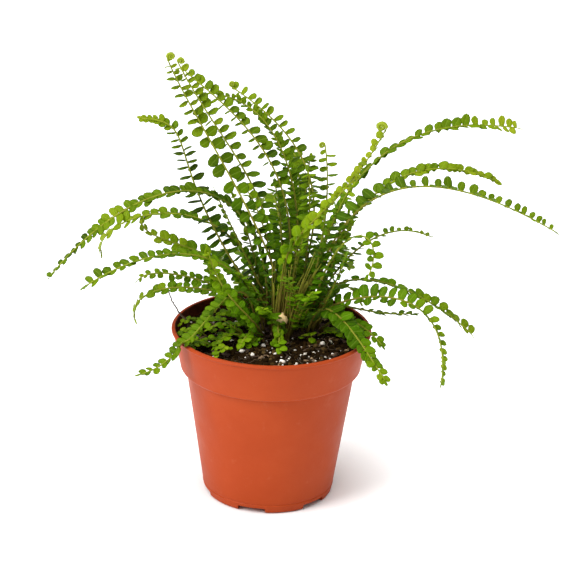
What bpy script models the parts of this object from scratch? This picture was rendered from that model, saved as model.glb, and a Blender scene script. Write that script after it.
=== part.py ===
"""Potted button fern: a plastic nursery pot, its soil, the fern's crown and every frond as a solid.

Units are metres and +Z is up. The origin is the middle of the pot's underside, where the pot's centre
pad stands on the shelf, and the pot's axis is the Z axis.
"""

import math

import bmesh
import bpy
from mathutils import Matrix, Vector

MM = 0.001

# Pot
POT_HEIGHT = 93 * MM
RIM_RADIUS = 53 * MM
LIP_HEIGHT = 1.8 * MM
LIP_OVERHANG = 1.0 * MM
BAND_HEIGHT = 20.5 * MM
BAND_TAPER = 3.8 * MM
BAND_CORNER = 2.0 * MM
STEP_WIDTH = 3.2 * MM
BASE_RADIUS = 34.8 * MM
BASE_CORNER = 1.6 * MM
WALL = 1.2 * MM

# Underside of the pot
FOOT_HEIGHT = 3.4 * MM
FOOT_WIDTH = 2.4 * MM
PAD_RADIUS = 8 * MM
NOTCH_COUNT = 6
NOTCH_WIDTH = 15 * MM
NOTCH_HEIGHT = 3.0 * MM
NOTCH_TURN = math.radians(16)
DRAIN_RADIUS = 3.5 * MM
DRAIN_TO_EDGE = 13.8 * MM

# Soil and crown
HEADSPACE = 6.5 * MM
SOIL_MOUND = 2 * MM
CROWN_X = 11 * MM
CROWN_Y = 9 * MM
CROWN_LENGTH = 36 * MM
CROWN_WIDTH = 30 * MM
CROWN_HEIGHT = 5 * MM
GAP = 0.3 * MM

# Fronds
STIPE_RADIUS = 0.75 * MM
BLADE_HALF_THICKNESS = 0.6 * MM
LEAFLET_SPACING = 6.5 * MM
STIPE_RINGS = 4
TIP_SHARE = 0.25
NOTCH_BETWEEN_LEAFLETS = 0.3
OVER_RIM = 1.8 * MM
OVER_SOIL = 1.4 * MM
RIM_APPROACH = 10 * MM
SOFTNESS = 1.0 * MM

ROUTE_STEPS = 80
SETTLE_SHARE = 0.125

# The blade's outline, as shares of its width and length: how wide it starts, how fast it widens, and
# how it narrows over TIP_SHARE of its length to a blunt tip.
BLADE_START = 0.6
BLADE_SWELL = 1.6
BLADE_END = 1.04
TIP_BLUNTNESS = 0.6

# How smooth the round pieces are
POT_SEGMENTS = 48
CROWN_SEGMENTS = 24
DRAIN_SEGMENTS = 16
CORNER_STEPS = 3
SOIL_RINGS = (1, 0.8, 0.55, 0.3, 0)
CROWN_RINGS = (0.35, 0.65, 0.85, 0.96, 1)
SHARP_EDGE = math.radians(35)

# Each frond is a Bezier curve: where its stipe leaves the crown (x, y), the handle that it rises along,
# the handle that it arches along and its tip. Heights are measured from the pot's rim and all lengths
# are in millimetres. Then the half width of the blade, the share of the length that is bare stipe, and
# the turn of the blade about its midrib in degrees.
FRONDS = {
    "frond_tall_1": ((4, 4), (15, 0, 30), (-45, -10, 120), (-55, -15, 150), 8, 0.35, -75),
    "frond_tall_2": ((6, 9), (0, 10, 80), (-25, 10, 90), (-51, 12, 140), 7, 0.35, -60),
    "frond_tall_3": ((7, 13), (15, 20, 70), (0, 20, 95), (-48, 30, 130), 7, 0.4, -40),
    "frond_tall_4": ((11, 18), (20, 30, 40), (40, 35, 80), (-25, 50, 117), 7, 0.35, -30),
    "frond_tall_5": ((8, 16), (20, 25, 45), (10, 35, 110), (-30, 40, 115), 6, 0.4, -30),
    "frond_tall_6": ((0, 9), (-65, 12, 89), (-35, 5, 111), (-69, 5, 112), 7, 0.4, -70),
    "frond_left_1": ((-2, 6), (0, 0, 90), (-60, -5, 100), (-115, -12, 31), 7, 0.4, 0),
    "frond_left_2": ((-4, 10), (-10, 20, 80), (-95, 25, 55), (-93, 28, 30), 6, 0.4, 0),
    "frond_left_3": ((-4, 0), (-10, -10, 45), (-50, -15, 60), (-95, -25, 31), 6, 0.35, 0),
    "frond_left_4": ((-7, 13), (-6, 18, 42), (-70, 15, 35), (-70, 12, 54), 5, 0.4, 0),
    "frond_left_5": ((-8, 4), (3, 0, 16), (-60, -5, 40), (-70, -8, 28), 5, 0.35, 0),
    "frond_left_6": ((-6, 16), (-20, 20, 20), (-80, 30, 15), (-75, 31, -10), 5, 0.35, 0),
    "frond_front_left": ((-7, -2), (-15, -20, 65), (-35, -20, -10), (-66, -39, -12), 7, 0.35, 0),
    "frond_lime": ((9, 2), (-5, -10, 65), (25, -10, 50), (55, -28, 120), 6, 0.35, 40),
    "frond_right_1": ((15, 16), (30, 35, 60), (50, 40, 110), (129, 60, 95), 6, 0.4, 0),
    "frond_right_2": ((18, 13), (30, 20, 50), (60, 25, 100), (116, 30, 75), 6, 0.4, 0),
    "frond_right_3": ((19, 9), (30, 5, 80), (70, 5, 100), (146, 0, 58), 6, 0.4, 0),
    "frond_right_4": ((21, 14), (25, 20, 15), (50, 35, 55), (84, 48, 36), 4, 0.3, 0),
    "frond_right_5": ((20, 5), (30, -25, 80), (60, -20, 65), (49, -34, 44), 5, 0.35, 0),
    "frond_right_6": ((24, 10), (25, 10, 40), (75, 10, 25), (106, 9, -4), 6, 0.35, 0),
    "frond_right_7": ((22, 3), (10, 0, 10), (95, -15, 55), (89, -34, -15), 8, 0.3, 0),
    "frond_right_8": ((19, -3), (25, -20, 35), (40, -15, 10), (59, -43, -10), 7, 0.3, 0),
    "frond_right_9": ((26, 12), (25, 10, 20), (45, 15, 0), (75, 14, 4), 4, 0.3, 0),
    "frond_right_10": ((26, 2), (36, -4, 14), (48, -12, 8), (58, -16, -2), 4, 0.35, 0),
    "frond_upright_1": ((14, 20), (28, 32, 22), (30, 40, 66), (26, 46, 87), 4, 0.5, 0),
    "frond_upright_2": ((2, 6), (2, 3, 25), (-2, 2, 55), (-14, 2, 75), 6, 0.35, -75),
    "frond_upright_3": ((5, 20), (5, 25, 25), (5, 30, 50), (0, 32, 68), 6, 0.3, 0),
    "frond_upright_4": ((13, 12), (18, 15, 30), (20, 10, 60), (17, 5, 86), 5, 0.4, 0),
    "frond_upright_5": ((19, 17), (28, 25, 20), (38, 30, 40), (39, 33, 52), 6, 0.35, 0),
    "frond_upright_6": ((15, 4), (20, 0, 22), (26, 0, 44), (26, 2, 63), 6, 0.3, 0),
    "frond_inner_1": ((9, 7), (10, 6, 20), (13, 2, 38), (15, -4, 52), 6, 0.25, 0),
    "frond_inner_2": ((21, 0), (27, -4, 12), (34, -6, 30), (38, -6, 44), 6, 0.25, 0),
    "frond_inner_3": ((12, -1), (14, -6, 12), (14, -12, 24), (8, -18, 34), 6, 0.25, 0),
    "frond_inner_4": ((15, 9), (24, 16, 34), (33, 20, 60), (40, 22, 72), 5, 0.35, 0),
    "frond_inner_5": ((1, 1), (-4, -3, 15), (-10, -8, 28), (-18, -14, 36), 6, 0.25, 0),
    "frond_inner_6": ((-3, 17), (-8, 24, 25), (-14, 27, 45), (-22, 29, 62), 6, 0.3, 0),
    "frond_inner_7": ((23, 7), (28, 10, 26), (35, 11, 46), (41, 9, 56), 5, 0.3, 0),
    "frond_inner_8": ((9, 23), (12, 32, 30), (16, 37, 55), (18, 42, 80), 6, 0.3, 0),
    "frond_inner_9": ((13, -3), (15, -12, 14), (19, -18, 26), (21, -24, 30), 5, 0.25, 0),
    "frond_inner_10": ((5, -1), (3, -8, 9), (-1, -15, 16), (-5, -23, 20), 5, 0.25, 0),
    "frond_back_1": ((6, 22), (5, 45, 45), (0, 75, 60), (-8, 100, 35), 7, 0.35, 0),
    "frond_back_2": ((17, 22), (20, 45, 30), (35, 65, 35), (42, 92, 0), 7, 0.35, 0),
    "frond_back_3": ((-1, 22), (-10, 40, 30), (-25, 60, 30), (-35, 80, 0), 7, 0.35, 0),
    "frond_back_4": ((11, 22), (15, 40, 15), (20, 65, 20), (25, 85, -5), 6, 0.3, 0),
    "frond_back_5": ((2, 19), (0, 40, 15), (-10, 60, 20), (-20, 75, -10), 6, 0.3, 0),
    "frond_back_6": ((22, 18), (30, 30, 10), (40, 45, 15), (48, 52, -5), 6, 0.3, 0),
    "frond_back_7": ((8, 25), (15, 45, 50), (15, 65, 85), (5, 80, 70), 7, 0.4, 0),
    "frond_young_1": ((2, 15), (0, 12, 5), (-28, 4, 66), (-31, 2, 75), 3, 0.5, 0),
    "frond_young_2": ((-4, -6), (-8, -20, 14), (-26, -27, 24), (-33, -28, 52), 4, 0.35, -70),
    "frond_young_3": ((-10, 0), (-14, -8, 14), (-29, -11, 22), (-33, -12, 37), 4, 0.35, -70),
    "frond_young_4": ((-14, -8), (-20, -8, 6), (-30, -8, 6), (-36, -9, -1), 4, 0.2, 0),
    "frond_young_5": ((-12, -14), (-17, -17, 5), (-24, -20, 5), (-29, -24, -2), 4, 0.2, 0),
    "frond_young_6": ((-5, -9), (-8, -13, 5), (-13, -18, 4), (-16, -23, -2), 4, 0.2, 0),
    "frond_young_7": ((6, -6), (4, -14, 10), (2, -10, 10), (5, -20, -3), 4, 0.3, 0),
}

# A dead stipe that has lost its leaflets, given like a frond's four points, with x from the inner wall.
BARE_STALK = ((6.8, 5), (3.8, 6, 3), (-1.2, 8, 5), (-4.2, 9, 15))
BARE_STALK_RADIUS = 0.5 * MM
BARE_STALK_RINGS = 10

# Name, colour and roughness of each finish
POT_PLASTIC = ("pot_plastic", (0.60, 0.115, 0.045, 1), 0.42)
POTTING_MIX = ("potting_mix", (0.022, 0.013, 0.008, 1), 0.95)
RHIZOME = ("rhizome", (0.16, 0.10, 0.04, 1), 0.9)
LEAF = ("leaf", (0.10, 0.26, 0.02, 1), 0.5)
YOUNG_LEAF = ("young_leaf", (0.32, 0.50, 0.04, 1), 0.5)
DEAD_STALK = ("dead_stalk", (0.05, 0.035, 0.02, 1), 0.8)


def material(name, colour, roughness):
    made = bpy.data.materials.new(name)
    made.use_nodes = True
    shader = made.node_tree.nodes["Principled BSDF"]
    shader.inputs["Base Color"].default_value = colour
    shader.inputs["Roughness"].default_value = roughness
    return made


def add_object(name, points, faces, finish):
    mesh = bpy.data.meshes.new(name)
    mesh.from_pydata([tuple(point) for point in points], [], faces)
    made = bpy.data.objects.new(name, mesh)
    bpy.context.scene.collection.objects.link(made)
    build = bmesh.new()
    build.from_mesh(mesh)
    bmesh.ops.recalc_face_normals(build, faces=build.faces)
    bmesh.ops.triangulate(build, faces=[face for face in build.faces if len(face.verts) > 3])
    build.to_mesh(mesh)
    build.free()
    mesh.materials.append(finish)
    return made


def turned(profile, segments, height_at=None):
    """Points and faces of a profile of (radius, z) turned about the Z axis, from axis to axis.

    height_at(x, y, z) may move a point up or down."""
    lift = height_at or (lambda x, y, z: z)
    points = []
    rings = []
    for radius, z in profile:
        if radius == 0:
            rings.append([len(points)])
            points.append((0, 0, lift(0, 0, z)))
            continue
        rings.append(range(len(points), len(points) + segments))
        for step in range(segments):
            angle = 2 * math.pi * step / segments
            x = radius * math.cos(angle)
            y = radius * math.sin(angle)
            points.append((x, y, lift(x, y, z)))
    faces = []
    for low, high in zip(rings, rings[1:]):
        for step in range(segments):
            after = (step + 1) % segments
            if len(low) == 1:
                faces.append((low[0], high[after], high[step]))
            elif len(high) == 1:
                faces.append((low[step], low[after], high[0]))
            else:
                faces.append((low[step], low[after], high[after], high[step]))
    return points, faces


def corner(centre, radius, start, end):
    """Points of an arc in the profile plane, from the start angle to the end angle in degrees."""
    points = []
    for step in range(CORNER_STEPS + 1):
        angle = math.radians(start + (end - start) * step / CORNER_STEPS)
        points.append((centre[0] + radius * math.cos(angle), centre[1] + radius * math.sin(angle)))
    return points


# The band is the wider ring below the lip. It tapers downwards and ends in a step in to the body.
LIP_BOTTOM = POT_HEIGHT - LIP_HEIGHT
BAND_TOP_RADIUS = RIM_RADIUS - LIP_OVERHANG
BAND_BOTTOM = LIP_BOTTOM - BAND_HEIGHT
BAND_BOTTOM_RADIUS = BAND_TOP_RADIUS - BAND_TAPER
BODY_TOP_RADIUS = BAND_BOTTOM_RADIUS - STEP_WIDTH
FLOOR = FOOT_HEIGHT + WALL
BODY_SLOPE = (BODY_TOP_RADIUS - BASE_RADIUS) / BAND_BOTTOM
INNER_RIM_RADIUS = BAND_TOP_RADIUS - WALL
DRAIN_CIRCLE = BASE_RADIUS - DRAIN_TO_EDGE


def pot_inside():
    """The pot's inner profile, from the axis out along the floor and up to the rim."""
    ledge = BAND_BOTTOM + WALL
    return [
        (0, WALL),
        (PAD_RADIUS - WALL, WALL),
        (PAD_RADIUS + WALL, FLOOR),
        (BASE_RADIUS + BODY_SLOPE * FLOOR - WALL, FLOOR),
        (BODY_TOP_RADIUS - WALL, ledge),
        (BAND_BOTTOM_RADIUS - WALL, ledge + BAND_CORNER),
        (INNER_RIM_RADIUS, LIP_BOTTOM),
        (INNER_RIM_RADIUS, POT_HEIGHT),
    ]


def pot_outside():
    """The pot's outer profile, from the axis out along the underside and up to the lip."""
    foot_inner = BASE_RADIUS - FOOT_WIDTH - BASE_CORNER
    lip_corner = LIP_HEIGHT / 2
    profile = [
        (0, 0),
        (PAD_RADIUS, 0),
        (PAD_RADIUS + 2 * WALL, FOOT_HEIGHT),
        (foot_inner, FOOT_HEIGHT),
        (foot_inner, 0),
    ]
    profile += corner((BASE_RADIUS - BASE_CORNER, BASE_CORNER), BASE_CORNER, -90, 0)
    profile += [(BODY_TOP_RADIUS, BAND_BOTTOM)]
    profile += corner((BAND_BOTTOM_RADIUS - BAND_CORNER, BAND_BOTTOM + BAND_CORNER), BAND_CORNER, -90, 0)
    profile += [(BAND_TOP_RADIUS, LIP_BOTTOM)]
    profile += corner((RIM_RADIUS - lip_corner, LIP_BOTTOM + lip_corner), lip_corner, -90, 90)
    return profile


def pot_cutter():
    """Boxes that cut the drainage notches in the foot ring, and rods that cut the drain holes."""
    build = bmesh.new()
    reach = BASE_RADIUS + BASE_CORNER
    inner = BASE_RADIUS - FOOT_WIDTH - 3 * BASE_CORNER
    for step in range(NOTCH_COUNT):
        turn = NOTCH_TURN + 2 * math.pi * step / NOTCH_COUNT
        towards = Matrix.Rotation(turn, 4, "Z")
        middle = Vector(((reach + inner) / 2, 0, 0))
        size = Matrix.Diagonal((reach - inner, NOTCH_WIDTH, 2 * NOTCH_HEIGHT, 1))
        bmesh.ops.create_cube(build, size=1, matrix=towards @ Matrix.Translation(middle) @ size)
        bmesh.ops.create_cone(
            build,
            cap_ends=True,
            segments=DRAIN_SEGMENTS,
            radius1=DRAIN_RADIUS,
            radius2=DRAIN_RADIUS,
            depth=4 * FLOOR,
            matrix=towards @ Matrix.Translation(Vector((DRAIN_CIRCLE, 0, FLOOR))),
        )
    mesh = bpy.data.meshes.new("pot_cutter")
    build.to_mesh(mesh)
    build.free()
    cutter = bpy.data.objects.new("pot_cutter", mesh)
    bpy.context.scene.collection.objects.link(cutter)
    cutter.hide_render = True
    cutter.display_type = "WIRE"
    return cutter


def make_pot():
    profile = pot_outside() + pot_inside()[::-1]
    points, faces = turned(profile, POT_SEGMENTS)
    pot = add_object("pot", points, faces, material(*POT_PLASTIC))
    cut = pot.modifiers.new("drainage", "BOOLEAN")
    cut.operation = "DIFFERENCE"
    cut.object = pot_cutter()
    pot.data.shade_smooth()
    pot.data.set_sharp_from_angle(angle=SHARP_EDGE)


def soil_top(x, y):
    """Height of the soil's surface, which rises a little towards the middle."""
    share = (x * x + y * y) / (INNER_RIM_RADIUS * INNER_RIM_RADIUS)
    return POT_HEIGHT - HEADSPACE + SOIL_MOUND * (1 - share)


def make_soil():
    """The soil fills the pot's inside, a gap away from its wall. Its surface starts level at the rim's
    height and drops to the soil's own height."""
    inside = pot_inside()
    side = [(radius, z + GAP) for radius, z in inside[:1]]
    side += [(radius - GAP, z + GAP) for radius, z in inside[1:-2]]
    wall_slope = (INNER_RIM_RADIUS - BAND_BOTTOM_RADIUS + WALL) / BAND_HEIGHT
    edge = INNER_RIM_RADIUS - GAP - wall_slope * HEADSPACE
    surface = [(edge * share, POT_HEIGHT) for share in SOIL_RINGS]

    def height_at(x, y, z):
        return soil_top(x, y) if z == POT_HEIGHT else z

    points, faces = turned(side + surface, POT_SEGMENTS, height_at)
    add_object("soil", points, faces, material(*POTTING_MIX))


def crown_top(x, y):
    """Height of the crown's surface, or of the soil beside it."""
    across = (x - CROWN_X) / (CROWN_LENGTH / 2)
    along = (y - CROWN_Y) / (CROWN_WIDTH / 2)
    dome = 1 - across * across - along * along
    if dome <= 0:
        return soil_top(x, y)
    return soil_top(x, y) + GAP + CROWN_HEIGHT * math.sqrt(dome)


def make_crown():
    """A low scaly mound, open to the soil below it by the gap."""
    points = []
    faces = []
    rings = []
    underside = [(share, False) for share in CROWN_RINGS]
    upper_side = [(share, True) for share in CROWN_RINGS[-2::-1]]
    for share, on_top in underside + upper_side:
        rings.append(range(len(points), len(points) + CROWN_SEGMENTS))
        for step in range(CROWN_SEGMENTS):
            angle = 2 * math.pi * step / CROWN_SEGMENTS
            x = CROWN_X + CROWN_LENGTH / 2 * share * math.cos(angle)
            y = CROWN_Y + CROWN_WIDTH / 2 * share * math.sin(angle)
            z = crown_top(x, y) if on_top else soil_top(x, y) + GAP
            points.append((x, y, z))
    for low, high in zip(rings, rings[1:]):
        for step in range(CROWN_SEGMENTS):
            after = (step + 1) % CROWN_SEGMENTS
            faces.append((low[step], low[after], high[after], high[step]))
    bottom = soil_top(CROWN_X, CROWN_Y) + GAP
    top = crown_top(CROWN_X, CROWN_Y)
    for ring, z in ((rings[0], bottom), (rings[-1], top)):
        centre = len(points)
        points.append((CROWN_X, CROWN_Y, z))
        for step in range(CROWN_SEGMENTS):
            faces.append((ring[step], ring[(step + 1) % CROWN_SEGMENTS], centre))
    crown = add_object("crown", points, faces, material(*RHIZOME))
    crown.data.shade_smooth()


def smooth_step(share):
    share = min(max(share, 0), 1)
    return share * share * (3 - 2 * share)


def above_pot(point):
    """The point, raised where needed so that a frond lies over the soil and the rim, never through them."""
    radius = math.hypot(point.x, point.y)
    soil = POT_HEIGHT - HEADSPACE + SOIL_MOUND + OVER_SOIL
    rim = POT_HEIGHT + OVER_RIM
    over = smooth_step((radius - (INNER_RIM_RADIUS - RIM_APPROACH)) / (RIM_APPROACH - 2 * WALL))
    floor = soil + (rim - soil) * over - 2 * max(0, radius - (RIM_RADIUS + WALL))
    above = point.z - floor
    raised = (above + math.sqrt(above * above + SOFTNESS * SOFTNESS)) / 2
    return Vector((point.x, point.y, floor + raised))


def frond_route(base, rise, arch, tip):
    """Many points along a frond's midrib, evenly spaced by the Bezier parameter. Over SETTLE_SHARE of
    them it rises from the crown to its free height."""
    x = base[0] * MM
    y = base[1] * MM
    start = Vector((x, y, crown_top(x, y) + GAP + STIPE_RADIUS))
    rim = Vector((0, 0, POT_HEIGHT))
    handles = [rim + Vector(handle) * MM for handle in (rise, arch, tip)]
    points = []
    for step in range(ROUTE_STEPS + 1):
        t = step / ROUTE_STEPS
        u = 1 - t
        point = u**3 * start + 3 * u * u * t * handles[0] + 3 * u * t * t * handles[1]
        point += t**3 * handles[2]
        points.append(start.lerp(above_pot(point), smooth_step(t / SETTLE_SHARE)))
    return points


def along(route, distance):
    """The point at a distance along the route, and the route's direction there."""
    for low, high in zip(route, route[1:]):
        step = (high - low).length
        if distance <= step or high is route[-1]:
            return low + (high - low) * (distance / step), (high - low).normalized()
        distance -= step


def blade_share(share):
    """How wide the blade is at a share of its length, from 0 to 1."""
    swell = min(1, BLADE_START + BLADE_SWELL * share)
    taper = min(1, (BLADE_END - share) / TIP_SHARE)
    return swell * taper**TIP_BLUNTNESS


def cross_section(route, distance, sideways, turn, left, right, half_thickness):
    """Four points round the route: a diamond as wide as left and right and as thick as given."""
    place, direction = along(route, distance)
    side = (sideways - direction * sideways.dot(direction)).normalized()
    side = Matrix.Rotation(math.radians(turn), 3, direction) @ side
    up = side.cross(direction)
    return [
        place + side * left,
        place + up * half_thickness,
        place - side * right,
        place - up * half_thickness,
    ]


def loft(name, sections, finish):
    """A closed solid through cross sections of four points each."""
    points = [point for section in sections for point in section]
    last = len(points) - 4
    faces = [(0, 1, 2, 3), (last, last + 1, last + 2, last + 3)]
    for first in range(0, last, 4):
        for low, after in ((0, 1), (1, 2), (2, 3), (3, 0)):
            faces.append((first + low, first + after, first + 4 + after, first + 4 + low))
    add_object(name, points, faces, finish)


def route_length(route):
    return sum((high - low).length for low, high in zip(route, route[1:]))


def across(route):
    """The level direction that crosses the way a frond leans."""
    outwards = route[-1] - route[0]
    outwards.z = 0
    return outwards.normalized().cross(Vector((0, 0, 1)))


def make_frond(name, base, rise, arch, tip, half_width, stipe_share, turn, finish):
    """One frond: a thin stipe, then a blade whose edge steps in and out with its alternate leaflets."""
    route = frond_route(base, rise, arch, tip)
    sideways = across(route)
    length = route_length(route)
    stipe = length * stipe_share
    sections = []
    radius = STIPE_RADIUS
    for step in range(STIPE_RINGS + 1):
        distance = stipe * step / STIPE_RINGS
        sections.append(cross_section(route, distance, sideways, turn, radius, radius, radius))
    leaflets = max(3, round((length - stipe) / LEAFLET_SPACING))
    for step in range(1, 2 * leaflets + 1):
        share = step / (2 * leaflets)
        full = max(half_width * MM * blade_share(share), radius)
        small = max(full * NOTCH_BETWEEN_LEAFLETS, radius)
        left, right = (full, small) if step % 2 else (small, full)
        distance = stipe + (length - stipe) * share
        thick = BLADE_HALF_THICKNESS
        sections.append(cross_section(route, distance, sideways, turn, left, right, thick))
    loft(name, sections, finish)


def make_bare_stalk(finish):
    """A dead wiry stipe that leaves the soil beside the rim and leans out over it."""
    wall = -INNER_RIM_RADIUS / MM
    route = frond_route(*[(point[0] + wall, *point[1:]) for point in BARE_STALK])
    sideways = across(route)
    length = route_length(route)
    radius = BARE_STALK_RADIUS
    sections = []
    for step in range(BARE_STALK_RINGS + 1):
        distance = length * step / BARE_STALK_RINGS
        sections.append(cross_section(route, distance, sideways, 0, radius, radius, radius))
    loft("stalk_bare", sections, finish)


def clear_scene():
    for item in list(bpy.data.objects):
        bpy.data.objects.remove(item, do_unlink=True)


def main():
    clear_scene()
    make_pot()
    make_soil()
    make_crown()
    leaf = material(*LEAF)
    young_leaf = material(*YOUNG_LEAF)
    for name, sizes in FRONDS.items():
        is_young = "young" in name or "lime" in name
        make_frond(name, *sizes, young_leaf if is_young else leaf)
    make_bare_stalk(material(*DEAD_STALK))


main()
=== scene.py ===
"""Looks for the potted button fern: a fine moulded pot, loose soil with perlite, the scaly crown and every
frond with its own round, thin leaflets. Lengths are in metres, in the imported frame."""

import math
import random

import bmesh
import bpy
import numpy as np
from mathutils import Matrix, Vector, noise


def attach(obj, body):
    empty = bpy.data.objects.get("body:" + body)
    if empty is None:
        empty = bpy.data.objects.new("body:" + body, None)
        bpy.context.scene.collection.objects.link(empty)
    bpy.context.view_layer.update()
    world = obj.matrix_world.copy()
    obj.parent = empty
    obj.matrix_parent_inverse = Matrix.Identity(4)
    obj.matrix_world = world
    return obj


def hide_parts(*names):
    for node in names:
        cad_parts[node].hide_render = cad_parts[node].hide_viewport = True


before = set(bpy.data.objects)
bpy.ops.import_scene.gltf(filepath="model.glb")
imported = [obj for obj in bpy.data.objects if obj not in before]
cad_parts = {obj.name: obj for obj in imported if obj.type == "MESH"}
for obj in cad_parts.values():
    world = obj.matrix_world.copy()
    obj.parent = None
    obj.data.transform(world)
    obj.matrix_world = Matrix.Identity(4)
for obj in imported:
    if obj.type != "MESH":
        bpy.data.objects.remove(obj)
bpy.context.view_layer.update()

MM = 0.001

# Sizes of the CAD model that the pieces here follow
POT_HEIGHT = 93 * MM
RIM_RADIUS = 53 * MM
LIP_HEIGHT = 1.8 * MM
LIP_OVERHANG = 1.0 * MM
BAND_HEIGHT = 20.5 * MM
BAND_TAPER = 3.8 * MM
BAND_CORNER = 2.0 * MM
STEP_WIDTH = 3.2 * MM
BASE_RADIUS = 34.8 * MM
BASE_CORNER = 1.6 * MM
WALL = 1.2 * MM
FOOT_HEIGHT = 3.4 * MM
FOOT_WIDTH = 2.4 * MM
PAD_RADIUS = 8 * MM
NOTCH_COUNT = 6
NOTCH_WIDTH = 15 * MM
NOTCH_HEIGHT = 3.0 * MM
NOTCH_TURN = math.radians(16)
DRAIN_RADIUS = 3.5 * MM
DRAIN_CIRCLE = 21 * MM
HEADSPACE = 6.5 * MM
SOIL_MOUND = 2 * MM
CROWN_X = 11 * MM
CROWN_Y = 9 * MM
CROWN_LENGTH = 36 * MM
CROWN_WIDTH = 30 * MM
CROWN_HEIGHT = 5 * MM
GAP = 0.3 * MM
STIPE_RADIUS = 0.75 * MM
OVER_RIM = 1.8 * MM
OVER_SOIL = 1.4 * MM
RIM_APPROACH = 10 * MM
SOFTNESS = 1.0 * MM
ROUTE_STEPS = 80
SETTLE_SHARE = 0.125

LIP_BOTTOM = POT_HEIGHT - LIP_HEIGHT
BAND_TOP_RADIUS = RIM_RADIUS - LIP_OVERHANG
BAND_BOTTOM = LIP_BOTTOM - BAND_HEIGHT
BAND_BOTTOM_RADIUS = BAND_TOP_RADIUS - BAND_TAPER
BODY_TOP_RADIUS = BAND_BOTTOM_RADIUS - STEP_WIDTH
FLOOR = FOOT_HEIGHT + WALL
BODY_SLOPE = (BODY_TOP_RADIUS - BASE_RADIUS) / BAND_BOTTOM
INNER_RIM_RADIUS = BAND_TOP_RADIUS - WALL

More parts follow.
